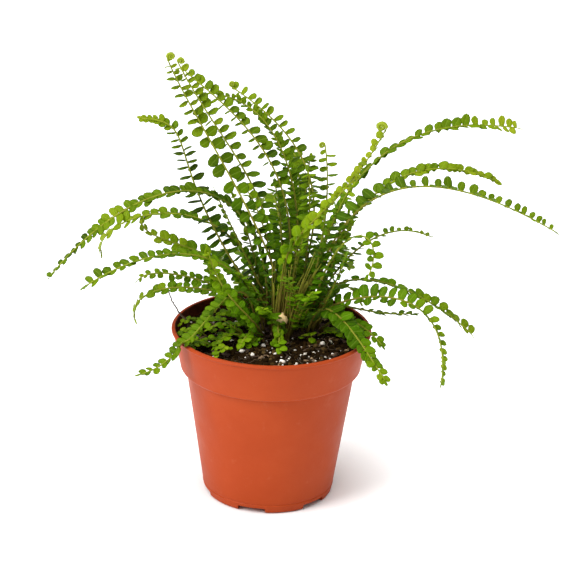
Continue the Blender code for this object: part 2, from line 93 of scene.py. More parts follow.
# Each frond's curve, as in the CAD model: its base (x, y), then the rise, arch and tip from the middle of
# the rim's plane, in millimetres, and the turn of its blade about the midrib in degrees.
CURVES = {
    "tall_1": ((4, 4), (15, 0, 30), (-45, -10, 120), (-55, -15, 150), -75),
    "tall_2": ((6, 9), (0, 10, 80), (-25, 10, 90), (-51, 12, 140), -60),
    "tall_3": ((7, 13), (15, 20, 70), (0, 20, 95), (-48, 30, 130), -40),
    "tall_4": ((11, 18), (20, 30, 40), (40, 35, 80), (-25, 50, 117), -30),
    "tall_5": ((8, 16), (20, 25, 45), (10, 35, 110), (-30, 40, 115), -30),
    "tall_6": ((0, 9), (-65, 12, 89), (-35, 5, 111), (-69, 5, 112), -70),
    "left_1": ((-2, 6), (0, 0, 90), (-60, -5, 100), (-115, -12, 31), 0),
    "left_2": ((-4, 10), (-10, 20, 80), (-95, 25, 55), (-93, 28, 30), 0),
    "left_3": ((-4, 0), (-10, -10, 45), (-50, -15, 60), (-95, -25, 31), 0),
    "left_4": ((-7, 13), (-6, 18, 42), (-70, 15, 35), (-70, 12, 54), 0),
    "left_5": ((-8, 4), (3, 0, 16), (-60, -5, 40), (-70, -8, 28), 0),
    "left_6": ((-6, 16), (-20, 20, 20), (-80, 30, 15), (-75, 31, -10), 0),
    "front_left": ((-7, -2), (-15, -20, 65), (-35, -20, -10), (-66, -39, -12), 0),
    "lime": ((9, 2), (-5, -10, 65), (25, -10, 50), (55, -28, 120), 40),
    "right_1": ((15, 16), (30, 35, 60), (50, 40, 110), (129, 60, 95), 0),
    "right_2": ((18, 13), (30, 20, 50), (60, 25, 100), (116, 30, 75), 0),
    "right_3": ((19, 9), (30, 5, 80), (70, 5, 100), (146, 0, 58), 0),
    "right_4": ((21, 14), (25, 20, 15), (50, 35, 55), (84, 48, 36), 0),
    "right_5": ((20, 5), (30, -25, 80), (60, -20, 65), (49, -34, 44), 0),
    "right_6": ((24, 10), (25, 10, 40), (75, 10, 25), (106, 9, -4), 0),
    "right_7": ((22, 3), (10, 0, 10), (95, -15, 55), (89, -34, -15), 0),
    "right_8": ((19, -3), (25, -20, 35), (40, -15, 10), (59, -43, -10), 0),
    "right_9": ((26, 12), (25, 10, 20), (45, 15, 0), (75, 14, 4), 0),
    "right_10": ((26, 2), (36, -4, 14), (48, -12, 8), (58, -16, -2), 0),
    "upright_1": ((14, 20), (28, 32, 22), (30, 40, 66), (26, 46, 87), 0),
    "upright_2": ((2, 6), (2, 3, 25), (-2, 2, 55), (-14, 2, 75), -75),
    "upright_3": ((5, 20), (5, 25, 25), (5, 30, 50), (0, 32, 68), 0),
    "upright_4": ((13, 12), (18, 15, 30), (20, 10, 60), (17, 5, 86), 0),
    "upright_5": ((19, 17), (28, 25, 20), (38, 30, 40), (39, 33, 52), 0),
    "upright_6": ((15, 4), (20, 0, 22), (26, 0, 44), (26, 2, 63), 0),
    "inner_1": ((9, 7), (10, 6, 20), (13, 2, 38), (15, -4, 52), 0),
    "inner_2": ((21, 0), (27, -4, 12), (34, -6, 30), (38, -6, 44), 0),
    "inner_3": ((12, -1), (14, -6, 12), (14, -12, 24), (8, -18, 34), 0),
    "inner_4": ((15, 9), (24, 16, 34), (33, 20, 60), (40, 22, 72), 0),
    "inner_5": ((1, 1), (-4, -3, 15), (-10, -8, 28), (-18, -14, 36), 0),
    "inner_6": ((-3, 17), (-8, 24, 25), (-14, 27, 45), (-22, 29, 62), 0),
    "inner_7": ((23, 7), (28, 10, 26), (35, 11, 46), (41, 9, 56), 0),
    "inner_8": ((9, 23), (12, 32, 30), (16, 37, 55), (18, 42, 80), 0),
    "inner_9": ((13, -3), (15, -12, 14), (19, -18, 26), (21, -24, 30), 0),
    "inner_10": ((5, -1), (3, -8, 9), (-1, -15, 16), (-5, -23, 20), 0),
    "back_1": ((6, 22), (5, 45, 45), (0, 75, 60), (-8, 100, 35), 0),
    "back_2": ((17, 22), (20, 45, 30), (35, 65, 35), (42, 92, 0), 0),
    "back_3": ((-1, 22), (-10, 40, 30), (-25, 60, 30), (-35, 80, 0), 0),
    "back_4": ((11, 22), (15, 40, 15), (20, 65, 20), (25, 85, -5), 0),
    "back_5": ((2, 19), (0, 40, 15), (-10, 60, 20), (-20, 75, -10), 0),
    "back_6": ((22, 18), (30, 30, 10), (40, 45, 15), (48, 52, -5), 0),
    "back_7": ((8, 25), (15, 45, 50), (15, 65, 85), (5, 80, 70), 0),
    "young_1": ((2, 15), (0, 12, 5), (-28, 4, 66), (-31, 2, 75), 0),
    "young_2": ((-4, -6), (-8, -20, 14), (-26, -27, 24), (-33, -28, 52), -70),
    "young_3": ((-10, 0), (-14, -8, 14), (-29, -11, 22), (-33, -12, 37), -70),
    "young_4": ((-14, -8), (-20, -8, 6), (-30, -8, 6), (-36, -9, -1), 0),
    "young_5": ((-12, -14), (-17, -17, 5), (-24, -20, 5), (-29, -24, -2), 0),
    "young_6": ((-5, -9), (-8, -13, 5), (-13, -18, 4), (-16, -23, -2), 0),
    "young_7": ((6, -6), (4, -14, 10), (2, -10, 10), (5, -20, -3), 0),
}

# What a frond's leaflets are like unless its own row says otherwise. Values in brackets are spread evenly
# from the first leaflet to the tip. bare is the share of the stalk below the leaflets. leaf is a leaflet's
# length and gap the space between neighbours on one side, in millimetres; wide is a leaflet's width as a
# share of its length. fold lifts a row out of the blade and level turns its leaflets face up, each for the
# right row and the left row as seen from above looking to the tip. lean is the angle towards the tip, and
# size scales the right and the left row. age goes from 0, old and dark, to 1, new and lime. loose scales
# the random tilt, and coil is the radius of the rolled tip in millimetres. Where fold or level is a single
# set of values, both rows use it.
LOOK = {
    "bare": 0.1, "leaf": (6, 6.8, 6.2, 4), "wide": 0.72, "gap": (4.2, 4.4, 4.4, 3.4), "size": (1, 1),
    "fold": (20,), "level": (0,), "lean": (12, 30), "age": (0.3, 0.45, 0.7), "loose": 1, "coil": 0,
}
LOOKS = {
    "tall_1": {
        "leaf": (5, 5.6, 7, 7.2, 5.4, 3.8), "wide": 0.82, "gap": (5, 6.5, 9, 8.4, 5.2, 3.6),
        "fold": (0, 5), "level": ((1.1, 0.9, 0.1, 0.1, 0.8, 0.9), (1.2, 1.0, 0.1, 0.1, 1.05, 1.1)),
        "lean": (5, -5, 15), "age": (0.3, 0.35, 0.4, 0.4, 0.7, 0.9), "coil": 2,
    },
    "tall_2": {
        "leaf": (4.8, 5.4, 6.8, 7.2, 6, 4.2), "wide": 0.74, "gap": (4.6, 5.4, 6.4, 6, 4.6, 3.4),
        "size": (1, 0.85), "fold": (5,), "level": ((1.1, 0.9, 0.6, 0.7, 0.9), (1.2, 1.15, 1.1)),
        "lean": (-5, -8, 15), "age": (0.35, 0.3, 0.4, 0.65, 0.85), "coil": 1.8,
    },
    "tall_3": {
        "leaf": (5, 6, 6.8, 6.4, 6, 4.4), "wide": 0.8, "gap": (4.4, 4.8, 5.2, 5, 4.4, 3.2),
        "size": (1, 0.7), "fold": (5,), "level": ((1.0, 0.8, 0.5, 0.5), (1.2, 1.15)),
        "lean": (-5, -5, 25), "age": (0.35, 0.4, 0.5, 0.7),
    },
    "tall_4": {
        "leaf": (5.5, 6.4, 6.8, 6.8, 6, 4.8), "wide": 0.68, "gap": (4.6, 5.2, 5.2, 5, 4.4), "fold": (5,),
        "level": ((1.0, 0.8, 0.8), (1.15, 1.1)), "lean": (-5, -10, 15), "age": (0.25, 0.35, 0.5, 0.8),
        "coil": 1.5,
    },
    "tall_5": {
        "leaf": (5, 5.4, 5, 4.2, 3.8), "wide": 0.62, "gap": (3.8, 3.8, 3.4, 2.8), "fold": (30, 35, 32),
        "level": ((0.9, 0.4, 0.2), (1.2, 0.5, 0.2)), "lean": (15, 45), "age": (0.3, 0.4, 0.6),
    },
    "tall_6": {
        "leaf": (6, 6.4, 7, 7.4, 5, 3.4), "wide": 0.7, "gap": (5, 5, 5, 5, 3.8, 2.4), "fold": (0,),
        "level": (1.05, 1.05, 1.0, 0.95, 0.95, 0), "lean": (5, 5, 5, 5, 25, 60),
        "age": (0.15, 0.15, 0.2, 0.2, 0.5, 0.9), "loose": 0.8,
    },
    "left_1": {
        "leaf": (6, 6.4, 6.6, 7, 6.6, 6.6, 5, 4.6), "wide": 0.64, "gap": (3.8, 4, 4.2, 4.2, 4.2),
        "fold": ((30, 35, 40, 40, 40, 40, 30, 25), (15, 15, 15, 15, 0, -40, -5, 5)),
        "lean": (30, 40, 50, 50, 50, 30, 45, 45), "age": (0.25, 0.25, 0.25, 0.3, 0.4, 0.75, 0.2, 0.5),
    },
    "left_2": {
        "leaf": (5, 5.6, 6.2, 6, 5.8, 6.4, 6.2), "wide": 0.75, "gap": (5, 5.6, 5.6, 4.8, 4.8),
        "fold": ((30, 30, 25, 15), (10, 10, -5, -15)), "lean": (30, 45, 30),
        "age": (0.25, 0.3, 0.4, 0.7, 1.0),
    },
    "left_3": {
        "leaf": (6, 6.8, 6.6, 6.2, 6.6, 6), "wide": 0.62, "gap": (3.2, 3.2, 3.6, 5, 5.8),
        "fold": ((10, 15, 25, 40), (-20, -5, 10, 12)), "lean": (20, 35, 40, 35, 30),
        "age": (0.35, 0.65, 0.45, 0.45, 0.6),
    },
    # Painted shade: this frond's first leaflets have a low age, so they are darker, standing in for the shade
    # at the thicket's lower left.
    "left_4": {
        "leaf": (5, 5.6, 7, 7.8, 6.4, 4.6), "wide": 0.72, "gap": (4.8, 5.2, 6, 6, 4.8),
        "fold": ((20, 30, 35), (-15, -15, -15)), "age": (0.1, 0.3, 0.65, 0.85, 0.75),
    },
    "left_5": {
        "leaf": (4.6, 5.2, 5.2, 4.8, 3.4), "wide": 0.7, "gap": (4.2, 4.2, 4.6, 4),
        "fold": ((20, 30), (-15, -15)), "age": (0.25, 0.45, 0.65),
    },
    "left_6": {
        "leaf": (4.4, 5, 5.4, 5.2, 3.8), "wide": 0.85, "gap": (4.2, 4.4, 4.6, 4.4),
        "fold": ((20, 35), (0, -20)), "age": (0.35, 0.55, 0.7),
    },
    "front_left": {
        "leaf": (5, 5.6, 6, 6.2, 4.6), "wide": 0.62, "gap": (2.8, 2.8, 3.4, 4), "fold": (60, 50, 20, 10),
        "lean": (30, 30), "age": (0.55, 0.55, 0.5, 0.65), "loose": 1.3,
    },
    "lime": {
        "bare": 0.15, "leaf": (4.4, 5, 6.4, 7, 4.8, 4, 4.2, 4.4, 4.6), "wide": 0.9,
        "gap": (3.6, 3.4, 3.2, 3.6, 4.6), "fold": (50, 30, 50, 40), "level": (0, 0.4), "lean": (20, 40),
        "age": (0.75, 0.95, 1.0), "loose": 2, "coil": 2.6,
    },
    "right_1": {
        "leaf": (3.6, 4.8, 6.2, 6.6, 6.8, 7.2, 5), "wide": 0.66, "gap": (5, 5, 5, 5.4, 4.2),
        "fold": ((5, 10, 15, 10, -15), (15, 20, 20, 25, 50, 55)), "lean": (30, 45, 55, 60, 30, 0),
        "age": (0.35, 0.4, 0.45, 0.6, 1.0),
    },
    "right_2": {
        "leaf": (3.4, 4.4, 5.4, 6.4, 5.8, 4.8), "wide": 0.78, "gap": (5.4, 5.4, 5, 3.8, 3),
        "fold": ((10, 12, 10, 5), (30, 30, 45, 50, 40)), "level": (1.0, 0.4, 0), "lean": (15, 30, 40, 50),
        "age": (0.4, 0.45, 0.7, 0.95),
    },
    "right_3": {
        "leaf": (5.5, 7.6, 7.8, 6.4, 6.2, 5.4, 3.8), "wide": 0.66, "gap": (6.2, 6.4, 5.8, 5.4, 5, 3.8),
        "size": (0.9, 1), "fold": ((30, 38, 38, 36, 20), (80, 75, 50, 45, 50)),
        "level": ((1.1, 1.1, 0.5, 0, 0, 0), (1.0, 0.9, 0.3, 0, 0, 0)), "lean": (-35, -25, 0, 5, 15),
        "age": (0.2, 0.3, 0.45, 0.55, 0.7),
    },
    "right_4": {
        "leaf": (5.4, 6, 5.6, 4.8, 4.2), "wide": 0.5, "gap": (4.4, 4.4, 3.2),
        "fold": ((15, 15, 30), (10, 10, 32)), "level": (1.2, 1.2, 0.6, 0), "lean": (0, 10, 50),
        "age": (0.2, 0.3, 0.55, 0.8),
    },
    "right_5": {
        "leaf": (5, 5.4, 5.6, 5.6, 4.8), "wide": 0.64, "gap": (4.6, 5, 5.4, 4.6), "fold": (10,),
        "level": (1.2, 1.2, 0.2, 0), "lean": (0, 0, 5, 0), "age": (0.25, 0.4, 0.65),
    },
    "right_6": {
        "leaf": (3.6, 4.4, 5.6, 6.4, 6.2, 4.8), "wide": 0.85, "gap": (4.6, 4.8, 5.2, 4.4),
        "fold": ((20, 20, 15, 5), (5, 15, 35, 40)), "lean": (40, 30, 10), "age": (0.3, 0.5, 0.75),
    },
    "right_7": {
        "leaf": (5.5, 7, 8.2, 8, 5, 4, 3.4), "wide": 0.64, "gap": (4.8, 5.2, 5.2, 4, 3.4),
        "size": (0.85, 1), "fold": ((-10, -10, -5, 70, 70), (45, 55, 50, 75, 75)),
        "lean": (10, 10, 15, 45, 50), "age": (0.45, 0.45, 0.55, 0.7),
    },
    "right_8": {
        "leaf": (7, 7.8, 7.4, 6, 4.6), "wide": 0.66, "gap": (3.2, 3.2, 3.6, 4), "fold": (5,),
        "age": (0.25, 0.35, 0.7),
    },
    "right_9": {
        "leaf": (4, 4.6, 5.2, 5), "wide": 0.55, "gap": (4.2, 4.4), "fold": ((18,), (0, 10)),
        "lean": (40, 30), "age": (0.25, 0.45),
    },
    "right_10": {
        "leaf": (5, 5.4, 5, 4), "wide": 0.7, "gap": (4, 3.6), "fold": ((0,), (25,)), "age": (0.3, 0.6),
    },
    "upright_1": {
        "leaf": (4.8, 5.6, 5.4, 4.8), "wide": 0.75, "gap": (5, 5.6, 5), "fold": (0,),
        "level": ((1.1, 0.8), (1.05, 0.5)), "lean": (0, 5), "age": (0.4, 0.6, 0.8), "coil": 1.6,
    },
    "upright_2": {
        "leaf": (5.6, 6.2, 6, 4.4), "wide": 0.8, "gap": (4.6, 5, 4.4), "fold": (5,),
        "level": ((0.6,), (1.1,)), "age": (0.35, 0.5, 0.75),
    },
    "upright_3": {
        "leaf": (6, 6.6, 6.4, 5), "wide": 0.6, "gap": (3.6, 3.8, 3.4), "fold": (0,),
        "level": ((1.1, 0.9), (1.2, 1.1)), "age": (0.2, 0.35, 0.6), "loose": 1.5,
    },
    # The upright and inner rows below have high ages partly for their own bright yellow-green and partly as
    # painted light, brightening leaflets that the light reaches weakly inside the thicket.
    "upright": {
        "bare": 0.25, "leaf": (6, 6.6, 6.4, 5), "wide": 0.5, "gap": (3.6, 3.6, 3.2), "fold": (0,),
        "level": ((1.15, 1.05), (1.2, 1.1)), "lean": (0, 10), "age": (0.45, 0.6, 0.75), "loose": 1.4,
    },
    "inner": {
        "bare": 0.08, "leaf": (5.6, 6.2, 5.8, 4.6), "wide": 0.6, "gap": (3.2, 3.2, 3), "fold": (5,),
        "level": ((1.1, 0.9), (1.15, 0.9)), "age": (0.45, 0.6, 0.8), "loose": 1.8,
    },
    "back": {"leaf": (6.2, 6.8, 6.4, 4.6), "gap": (4.2, 4.4, 3.8), "age": (0.3, 0.45, 0.65)},
    "inner_1": {
        "bare": 0.3, "leaf": (4.6, 5.4, 5.2, 4.4), "wide": 0.4, "gap": (3, 3, 3), "fold": (5,),
        "level": (1.0, 0.9), "age": (0.45, 0.6, 0.8), "loose": 1.6,
    },
    "young_1": {
        "bare": 0.35, "leaf": (3.2, 3.8, 3.4), "wide": 0.75, "gap": (4, 3.6), "fold": (5,),
        "level": (1.1, 0.8), "age": (0.45, 0.85),
    },
    "young_2": {
        "bare": 0.15, "leaf": (4.6, 5.2, 5.2, 4.6), "wide": 0.9, "gap": (4, 4.4, 3.6), "fold": (5,),
        "level": (0.4, 0.6), "age": (0.4, 0.6, 0.9), "loose": 2.2,
    },
    "young_3": {
        "bare": 0.15, "leaf": (4.6, 5.2, 5, 4.2), "wide": 0.9, "gap": (4, 4.4, 3.6), "fold": (5,),
        "level": (0.4, 0.6), "age": (0.4, 0.6, 0.85), "loose": 2.2,
    },
    "young": {
        "bare": 0.12, "leaf": (3.6, 4.2, 4.2, 3.4), "wide": 0.95, "gap": (2.8, 3, 2.6), "fold": (10,),
        "age": (0.6, 0.8), "loose": 2,
    },
}
LOOKS["inner_2"] = LOOKS["inner_1"]


def look_of(name):
    """The look of a frond: its own row, or else its family's, over the common values."""
    family = name.rsplit("_", 1)[0]
    return {**LOOK, **LOOKS.get(name, LOOKS.get(family, {}))}


# The dead stalk's base, rise, arch and tip, with x from the pot's inner wall on the left, in millimetres
BARE_STALK = ((6.8, 5), (3.8, 6, 3), (-1.2, 8, 5), (-4.2, 9, 15))
BARE_STALK_RADIUS = 0.5 * MM


# ---------------------------------------------------------------- node helpers


def node(tree, kind, inputs=None, **settings):
    """A shader node with its settings and its inputs, each a value or another node's output."""
    made = tree.nodes.new("ShaderNode" + kind)
    for key, value in settings.items():
        setattr(made, key, value)
    for key, value in (inputs or {}).items():
        if isinstance(value, bpy.types.NodeSocket):
            tree.links.new(value, made.inputs[key])
        else:
            made.inputs[key].default_value = value
    return made


def mixed(tree, share, first, second, blend="MIX"):
    made = node(tree, "Mix", {0: share, 6: first, 7: second}, data_type="RGBA", blend_type=blend)
    return made.outputs[2]


def maths(tree, operation, first, second=0.0):
    return node(tree, "Math", {0: first, 1: second}, operation=operation).outputs[0]


def plus(tree, first, second):
    return maths(tree, "ADD", first, second)


def times(tree, first, second):
    return maths(tree, "MULTIPLY", first, second)


def ranged(tree, value, low, high, to_low=0.0, to_high=1.0):
    """The value, moved from the range low to high into the range to_low to to_high and held inside it."""
    inputs = {"Value": value, "From Min": low, "From Max": high, "To Min": to_low, "To Max": to_high}
    return node(tree, "MapRange", inputs).outputs[0]


def ramp(tree, share, stops):
    """A colour that runs through the stops, each a place from 0 to 1 and a linear colour."""
    made = node(tree, "ValToRGB", {0: share})
    elements = made.color_ramp.elements
    while len(elements) < len(stops):
        elements.new(0.5)
    for element, (place, colour) in zip(elements, stops):
        element.position = place
        element.color = (*colour, 1)
    return made.outputs[0]


def noised(tree, where, scale, detail=3.0, roughness=0.5):
    """Cloudy noise round 0.5, with about scale / 1000 features to the millimetre."""
    inputs = {"Vector": where, "Scale": scale, "Detail": detail, "Roughness": roughness}
    return node(tree, "TexNoise", inputs).outputs[0]


def new_material(name):
    """An empty material, its Principled shader and the object coordinates to texture it with."""
    made = bpy.data.materials.new(name)
    made.use_nodes = True
    tree = made.node_tree
    shader = tree.nodes["Principled BSDF"]
    where = node(tree, "TexCoord").outputs["Object"]
    return made, tree, shader, where


def attribute(tree, name):
    return node(tree, "Attribute", attribute_name=name).outputs["Fac"]


def painted(tree, shader, colour, roughness, specular=None):
    """Gives the shader its colour, its roughness and, where stated, how strongly it reflects."""
    tree.links.new(colour, shader.inputs["Base Color"])
    if isinstance(roughness, bpy.types.NodeSocket):
        tree.links.new(roughness, shader.inputs["Roughness"])
    else:
        shader.inputs["Roughness"].default_value = roughness
    if specular is not None:
        shader.inputs["Specular IOR Level"].default_value = specular


def bumped(tree, shader, height, strength, distance):
    inputs = {"Height": height, "Strength": strength, "Distance": distance}
    tree.links.new(node(tree, "Bump", inputs).outputs[0], shader.inputs["Normal"])


# ---------------------------------------------------------------- materials


LEAF_THROUGH = 0.38
DENSE_MIDDLE = (0.01, 0, POT_HEIGHT + 0.015)
VEINS = 62


def leaf_material():
    """Leaflets, from old and dark to new and lime, with a pale midrib, veins and a paler underside. Near the
    plant's dense middle they carry painted shade and light: a greener tint as of shaded leaves, brighter in
    green to make up for light that reaches the thicket weakly."""
    made, tree, shader, where = new_material("fern_leaf")
    uv = node(tree, "UVMap", uv_map="leaf").outputs[0]
    split = node(tree, "SeparateXYZ", {0: uv})
    along = split.outputs[0]
    from_midrib = maths(tree, "ABSOLUTE", maths(tree, "SUBTRACT", split.outputs[1], 0.5))
    chance = attribute(tree, "chance")
    cloud = noised(tree, where, 90, 2)
    age = plus(tree, attribute(tree, "age"), times(tree, ranged(tree, chance, 0, 1, -1, 1), 0.12))
    age = plus(tree, age, ranged(tree, cloud, 0.3, 0.7, -0.07, 0.07))
    colour = ramp(tree, age, [
        (0.0, (0.030, 0.060, 0.0005)),
        (0.25, (0.066, 0.130, 0.001)),
        (0.5, (0.140, 0.235, 0.002)),
        (0.75, (0.235, 0.330, 0.004)),
        (1.0, (0.370, 0.430, 0.014)),
    ])
    # Painted shade and light: near the dense middle the leaflets are tinted greener and less red, as shaded
    # leaves look, and lifted in green to make up for the weak light there.
    middle = node(tree, "VectorMath", {0: where, 1: DENSE_MIDDLE}, operation="DISTANCE")
    shaded_middle = ranged(tree, middle.outputs["Value"], 0.035, 0.085, 1.0, 0.12)
    patch = ranged(tree, noised(tree, where, 45, 2), 0.35, 0.6, 0.45, 1.0)
    shade_tinted = node(tree, "VectorMath", {0: colour, 1: (0.84, 1.22, 0.45)}, operation="MULTIPLY").outputs[0]
    colour = mixed(tree, times(tree, shaded_middle, patch), colour, shade_tinted)
    midrib = ranged(tree, from_midrib, 0.015, 0.06, 1, 0)
    slant = maths(tree, "SUBTRACT", along, times(tree, from_midrib, 0.9))
    vein = ranged(tree, maths(tree, "SINE", times(tree, slant, VEINS)), 0.55, 1.0)
    colour = mixed(tree, times(tree, midrib, 0.30), colour, (0.36, 0.50, 0.06, 1))
    colour = mixed(tree, times(tree, vein, 0.12), colour, (0.25, 0.42, 0.03, 1))
    colour = mixed(tree, times(tree, attribute(tree, "under"), 0.28), colour, (0.17, 0.30, 0.06, 1))
    rough = ranged(tree, noised(tree, where, 300, 2), 0.3, 0.7, 0.36, 0.52)
    painted(tree, shader, colour, rough, 0.07)
    height = plus(tree, times(tree, vein, 0.35), times(tree, midrib, -0.8))
    bumped(tree, shader, plus(tree, height, noised(tree, where, 900, 2)), 0.35, 0.00025)
    glow = mixed(tree, 0.30, colour, (0.36, 0.50, 0.005, 1))
    through = node(tree, "BsdfTranslucent", {"Color": glow})
    blend = node(tree, "MixShader", {0: LEAF_THROUGH, 1: shader.outputs[0], 2: through.outputs[0]})
    tree.links.new(blend.outputs[0], tree.nodes["Material Output"].inputs["Surface"])
    return made


def stalk_material():
    """Stalks and midribs, brown at the foot and olive towards the tip."""
    made, tree, shader, where = new_material("fern_stalk")
    streak = noised(tree, where, 260, 3)
    age = plus(tree, attribute(tree, "age"), ranged(tree, streak, 0.3, 0.7, -0.12, 0.12))
    colour = ramp(tree, age, [
        (0.0, (0.060, 0.036, 0.008)),
        (0.2, (0.155, 0.120, 0.018)),
        (0.5, (0.200, 0.200, 0.018)),
        (1.0, (0.260, 0.330, 0.020)),
    ])
    painted(tree, shader, colour, 0.6, 0.12)
    bumped(tree, shader, noised(tree, where, 1400, 3), 0.4, 0.0002)
    return made


def dead_material():
    """The dead stalk and the dry roots."""
    made, tree, shader, where = new_material("dead_stalk")
    colour = ramp(tree, noised(tree, where, 500, 4), [
        (0.3, (0.030, 0.018, 0.010)),
        (0.7, (0.110, 0.070, 0.035)),
    ])
    painted(tree, shader, colour, 0.8)
    bumped(tree, shader, noised(tree, where, 1500, 3), 0.5, 0.0002)
    return made


def pot_material():
    """Terracotta-coloured plastic: faintly clouded and dusty, with painted shade darkening the inner wall in
    uneven patches.
    """
    made, tree, shader, where = new_material("terracotta_plastic")
    cloud = noised(tree, where, 28, 4, 0.55)
    fine = noised(tree, where, 700, 3)
    colour = ramp(tree, cloud, [
        (0.25, (0.330, 0.043, 0.007)),
        (0.5, (0.355, 0.048, 0.009)),
        (0.75, (0.380, 0.056, 0.012)),
    ])
    dust = ranged(tree, noised(tree, where, 140, 5, 0.65), 0.60, 0.85)
    colour = mixed(tree, times(tree, dust, 0.15), colour, (0.60, 0.22, 0.12, 1))
    split = node(tree, "SeparateXYZ", {0: where})
    height = split.outputs[2]
    flat = node(tree, "CombineXYZ", {0: split.outputs[0], 1: split.outputs[1]})
    radius = node(tree, "VectorMath", {0: flat.outputs[0]}, operation="LENGTH").outputs["Value"]
    # Painted shade: the inner wall above the band's foot is darkened to a deep brown in uneven patches,
    # standing in for the shade that falls inside the rim.
    wall = ranged(tree, height, BAND_BOTTOM, LIP_BOTTOM, BAND_BOTTOM_RADIUS - WALL, INNER_RIM_RADIUS)
    within = ranged(tree, maths(tree, "SUBTRACT", wall, radius), -0.5 * MM, -0.2 * MM)
    high = ranged(tree, height, BAND_BOTTOM, BAND_BOTTOM + WALL)
    inner_shade_mottle = ranged(tree, noised(tree, where, 220, 4), 0.25, 0.6, 0.6, 0.95)
    painted_inner_shade = times(tree, times(tree, within, high), inner_shade_mottle)
    colour = mixed(tree, painted_inner_shade, colour, (0.060, 0.012, 0.005, 1))
    rough = ranged(tree, noised(tree, where, 60, 4), 0.3, 0.7, 0.40, 0.56)
    painted(tree, shader, colour, rough, 0.1)
    bumped(tree, shader, plus(tree, fine, times(tree, cloud, 1.5)), 0.16, 0.0004)
    return made


def soil_material():
    made, tree, shader, where = new_material("potting_mix")
    grain = noised(tree, where, 700, 5, 0.7)
    tone = plus(tree, times(tree, attribute(tree, "chance"), 0.6), times(tree, grain, 0.4))
    colour = ramp(tree, tone, [
        (0.15, (0.008, 0.0032, 0.0003)),
        (0.55, (0.022, 0.010, 0.0012)),
        (0.75, (0.058, 0.032, 0.008)),
        (0.92, (0.190, 0.130, 0.045)),
    ])
    painted(tree, shader, colour, 0.92, 0.08)
    bumped(tree, shader, noised(tree, where, 1600, 5, 0.7), 0.9, 0.0006)
    return made


def perlite_material():
    made, tree, shader, where = new_material("perlite")
    stain = ranged(tree, noised(tree, where, 350, 4), 0.52, 0.75)
    colour = mixed(tree, times(tree, stain, 0.6), (0.80, 0.74, 0.66, 1), (0.36, 0.25, 0.15, 1))
    painted(tree, shader, colour, 0.85)
    bumped(tree, shader, noised(tree, where, 2200, 4), 0.8, 0.0003)
    return made


def bark_material():
    made, tree, shader, where = new_material("bark")
    cloud = noised(tree, where, 500, 4)
    tone = plus(tree, times(tree, attribute(tree, "chance"), 0.7), times(tree, cloud, 0.4))
    colour = ramp(tree, tone, [
        (0.2, (0.020, 0.011, 0.006)),
        (0.6, (0.085, 0.042, 0.020)),
        (0.9, (0.330, 0.210, 0.110)),
        (1.0, (0.900, 0.640, 0.300)),
    ])
    painted(tree, shader, colour, 0.85)
    bumped(tree, shader, noised(tree, where, 1500, 4), 0.7, 0.0004)
    return made


# ---------------------------------------------------------------- mesh helpers


class Build:
    """Gathers points and faces with their slots, leaf coordinates and shading values for one piece."""

    def __init__(self):
        self.points = []
        self.faces = []
        self.slots = []
        self.uv = []
        self.values = {"age": [], "chance": [], "under": []}
        self.count = 0

    def add(self, points, faces, slot=0, uv=None, age=0.0, chance=0.5, under=0.0):
        """Adds points and faces. slot is the material; age, chance and under are for the shaders."""
        points = np.asarray(points, float)
        many = len(points)
        self.points.append(points)
        self.faces += [tuple(corner + self.count for corner in face) for face in faces]
        self.slots += [slot] * len(faces)
        self.uv.append(np.zeros((many, 2)) if uv is None else uv)
        for name, value in (("age", age), ("chance", chance), ("under", under)):
            self.values[name].append(np.broadcast_to(np.asarray(value, float), (many,)))
        self.count += many

    def finish(self, name, materials, slot, replaces=None):
        """Makes the piece, which may stand for the CAD node that it replaces."""
        mesh = bpy.data.meshes.new(name)
        mesh.from_pydata(np.concatenate(self.points).tolist(), [], self.faces)
        for finish in materials:
            mesh.materials.append(finish)
        mesh.polygons.foreach_set("material_index", self.slots)
        for label, parts in self.values.items():
            layer = mesh.attributes.new(label, "FLOAT", "POINT")
            layer.data.foreach_set("value", np.concatenate(parts).astype(np.float32))
        corners = np.zeros(len(mesh.loops), np.int32)
        mesh.loops.foreach_get("vertex_index", corners)
        layer = mesh.uv_layers.new(name="leaf")
        layer.data.foreach_set("uv", np.concatenate(self.uv)[corners].astype(np.float32).ravel())
        mesh.shade_smooth()
        mesh.update()
        place(name, mesh, slot, replaces)


def place(name, mesh, slot, replaces=None):
    """A piece in the scene that rides on the plant's one body."""
    made = bpy.data.objects.new(name, mesh)
    bpy.context.scene.collection.objects.link(made)
    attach(made, "root")
    if replaces:
        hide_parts(replaces)
    return made


def band(low, high, segments, outwards=True):
    """Faces between two rings of points, whose first points are low and high."""
    faces = []
    for step in range(segments):
        after = (step + 1) % segments
        face = (low + step, low + after, high + after, high + step)
        faces.append(face if outwards else (face[0], face[3], face[2], face[1]))
    return faces


def turned(profile, segments):
    """Points and faces of a profile of (radius, z) turned about the Z axis, from axis to axis."""
    points = []
    rings = []
    for radius, z in profile:
        rings.append((len(points), radius == 0))
        if radius == 0:
            points.append((0, 0, z))
            continue
        for step in range(segments):
            angle = 2 * math.pi * step / segments
            points.append((radius * math.cos(angle), radius * math.sin(angle), z))
    faces = []
    for (low, low_point), (high, high_point) in zip(rings, rings[1:]):
        if low_point:
            faces += [(low, high + (step + 1) % segments, high + step) for step in range(segments)]
        elif high_point:
            faces += [(low + step, low + (step + 1) % segments, high) for step in range(segments)]
        else:
            faces += band(low, high, segments)
    return points, faces


def corner(centre, radius, start, end, steps=8):
    """Points of a rounded corner of a profile, from angle start to angle end in degrees."""
    points = []
    for step in range(steps + 1):
        angle = math.radians(start + (end - start) * step / steps)
        points.append((centre[0] + radius * math.cos(angle), centre[1] + radius * math.sin(angle)))
    return points


def smooth_step(share):
    share = min(max(share, 0), 1)
    return share * share * (3 - 2 * share)


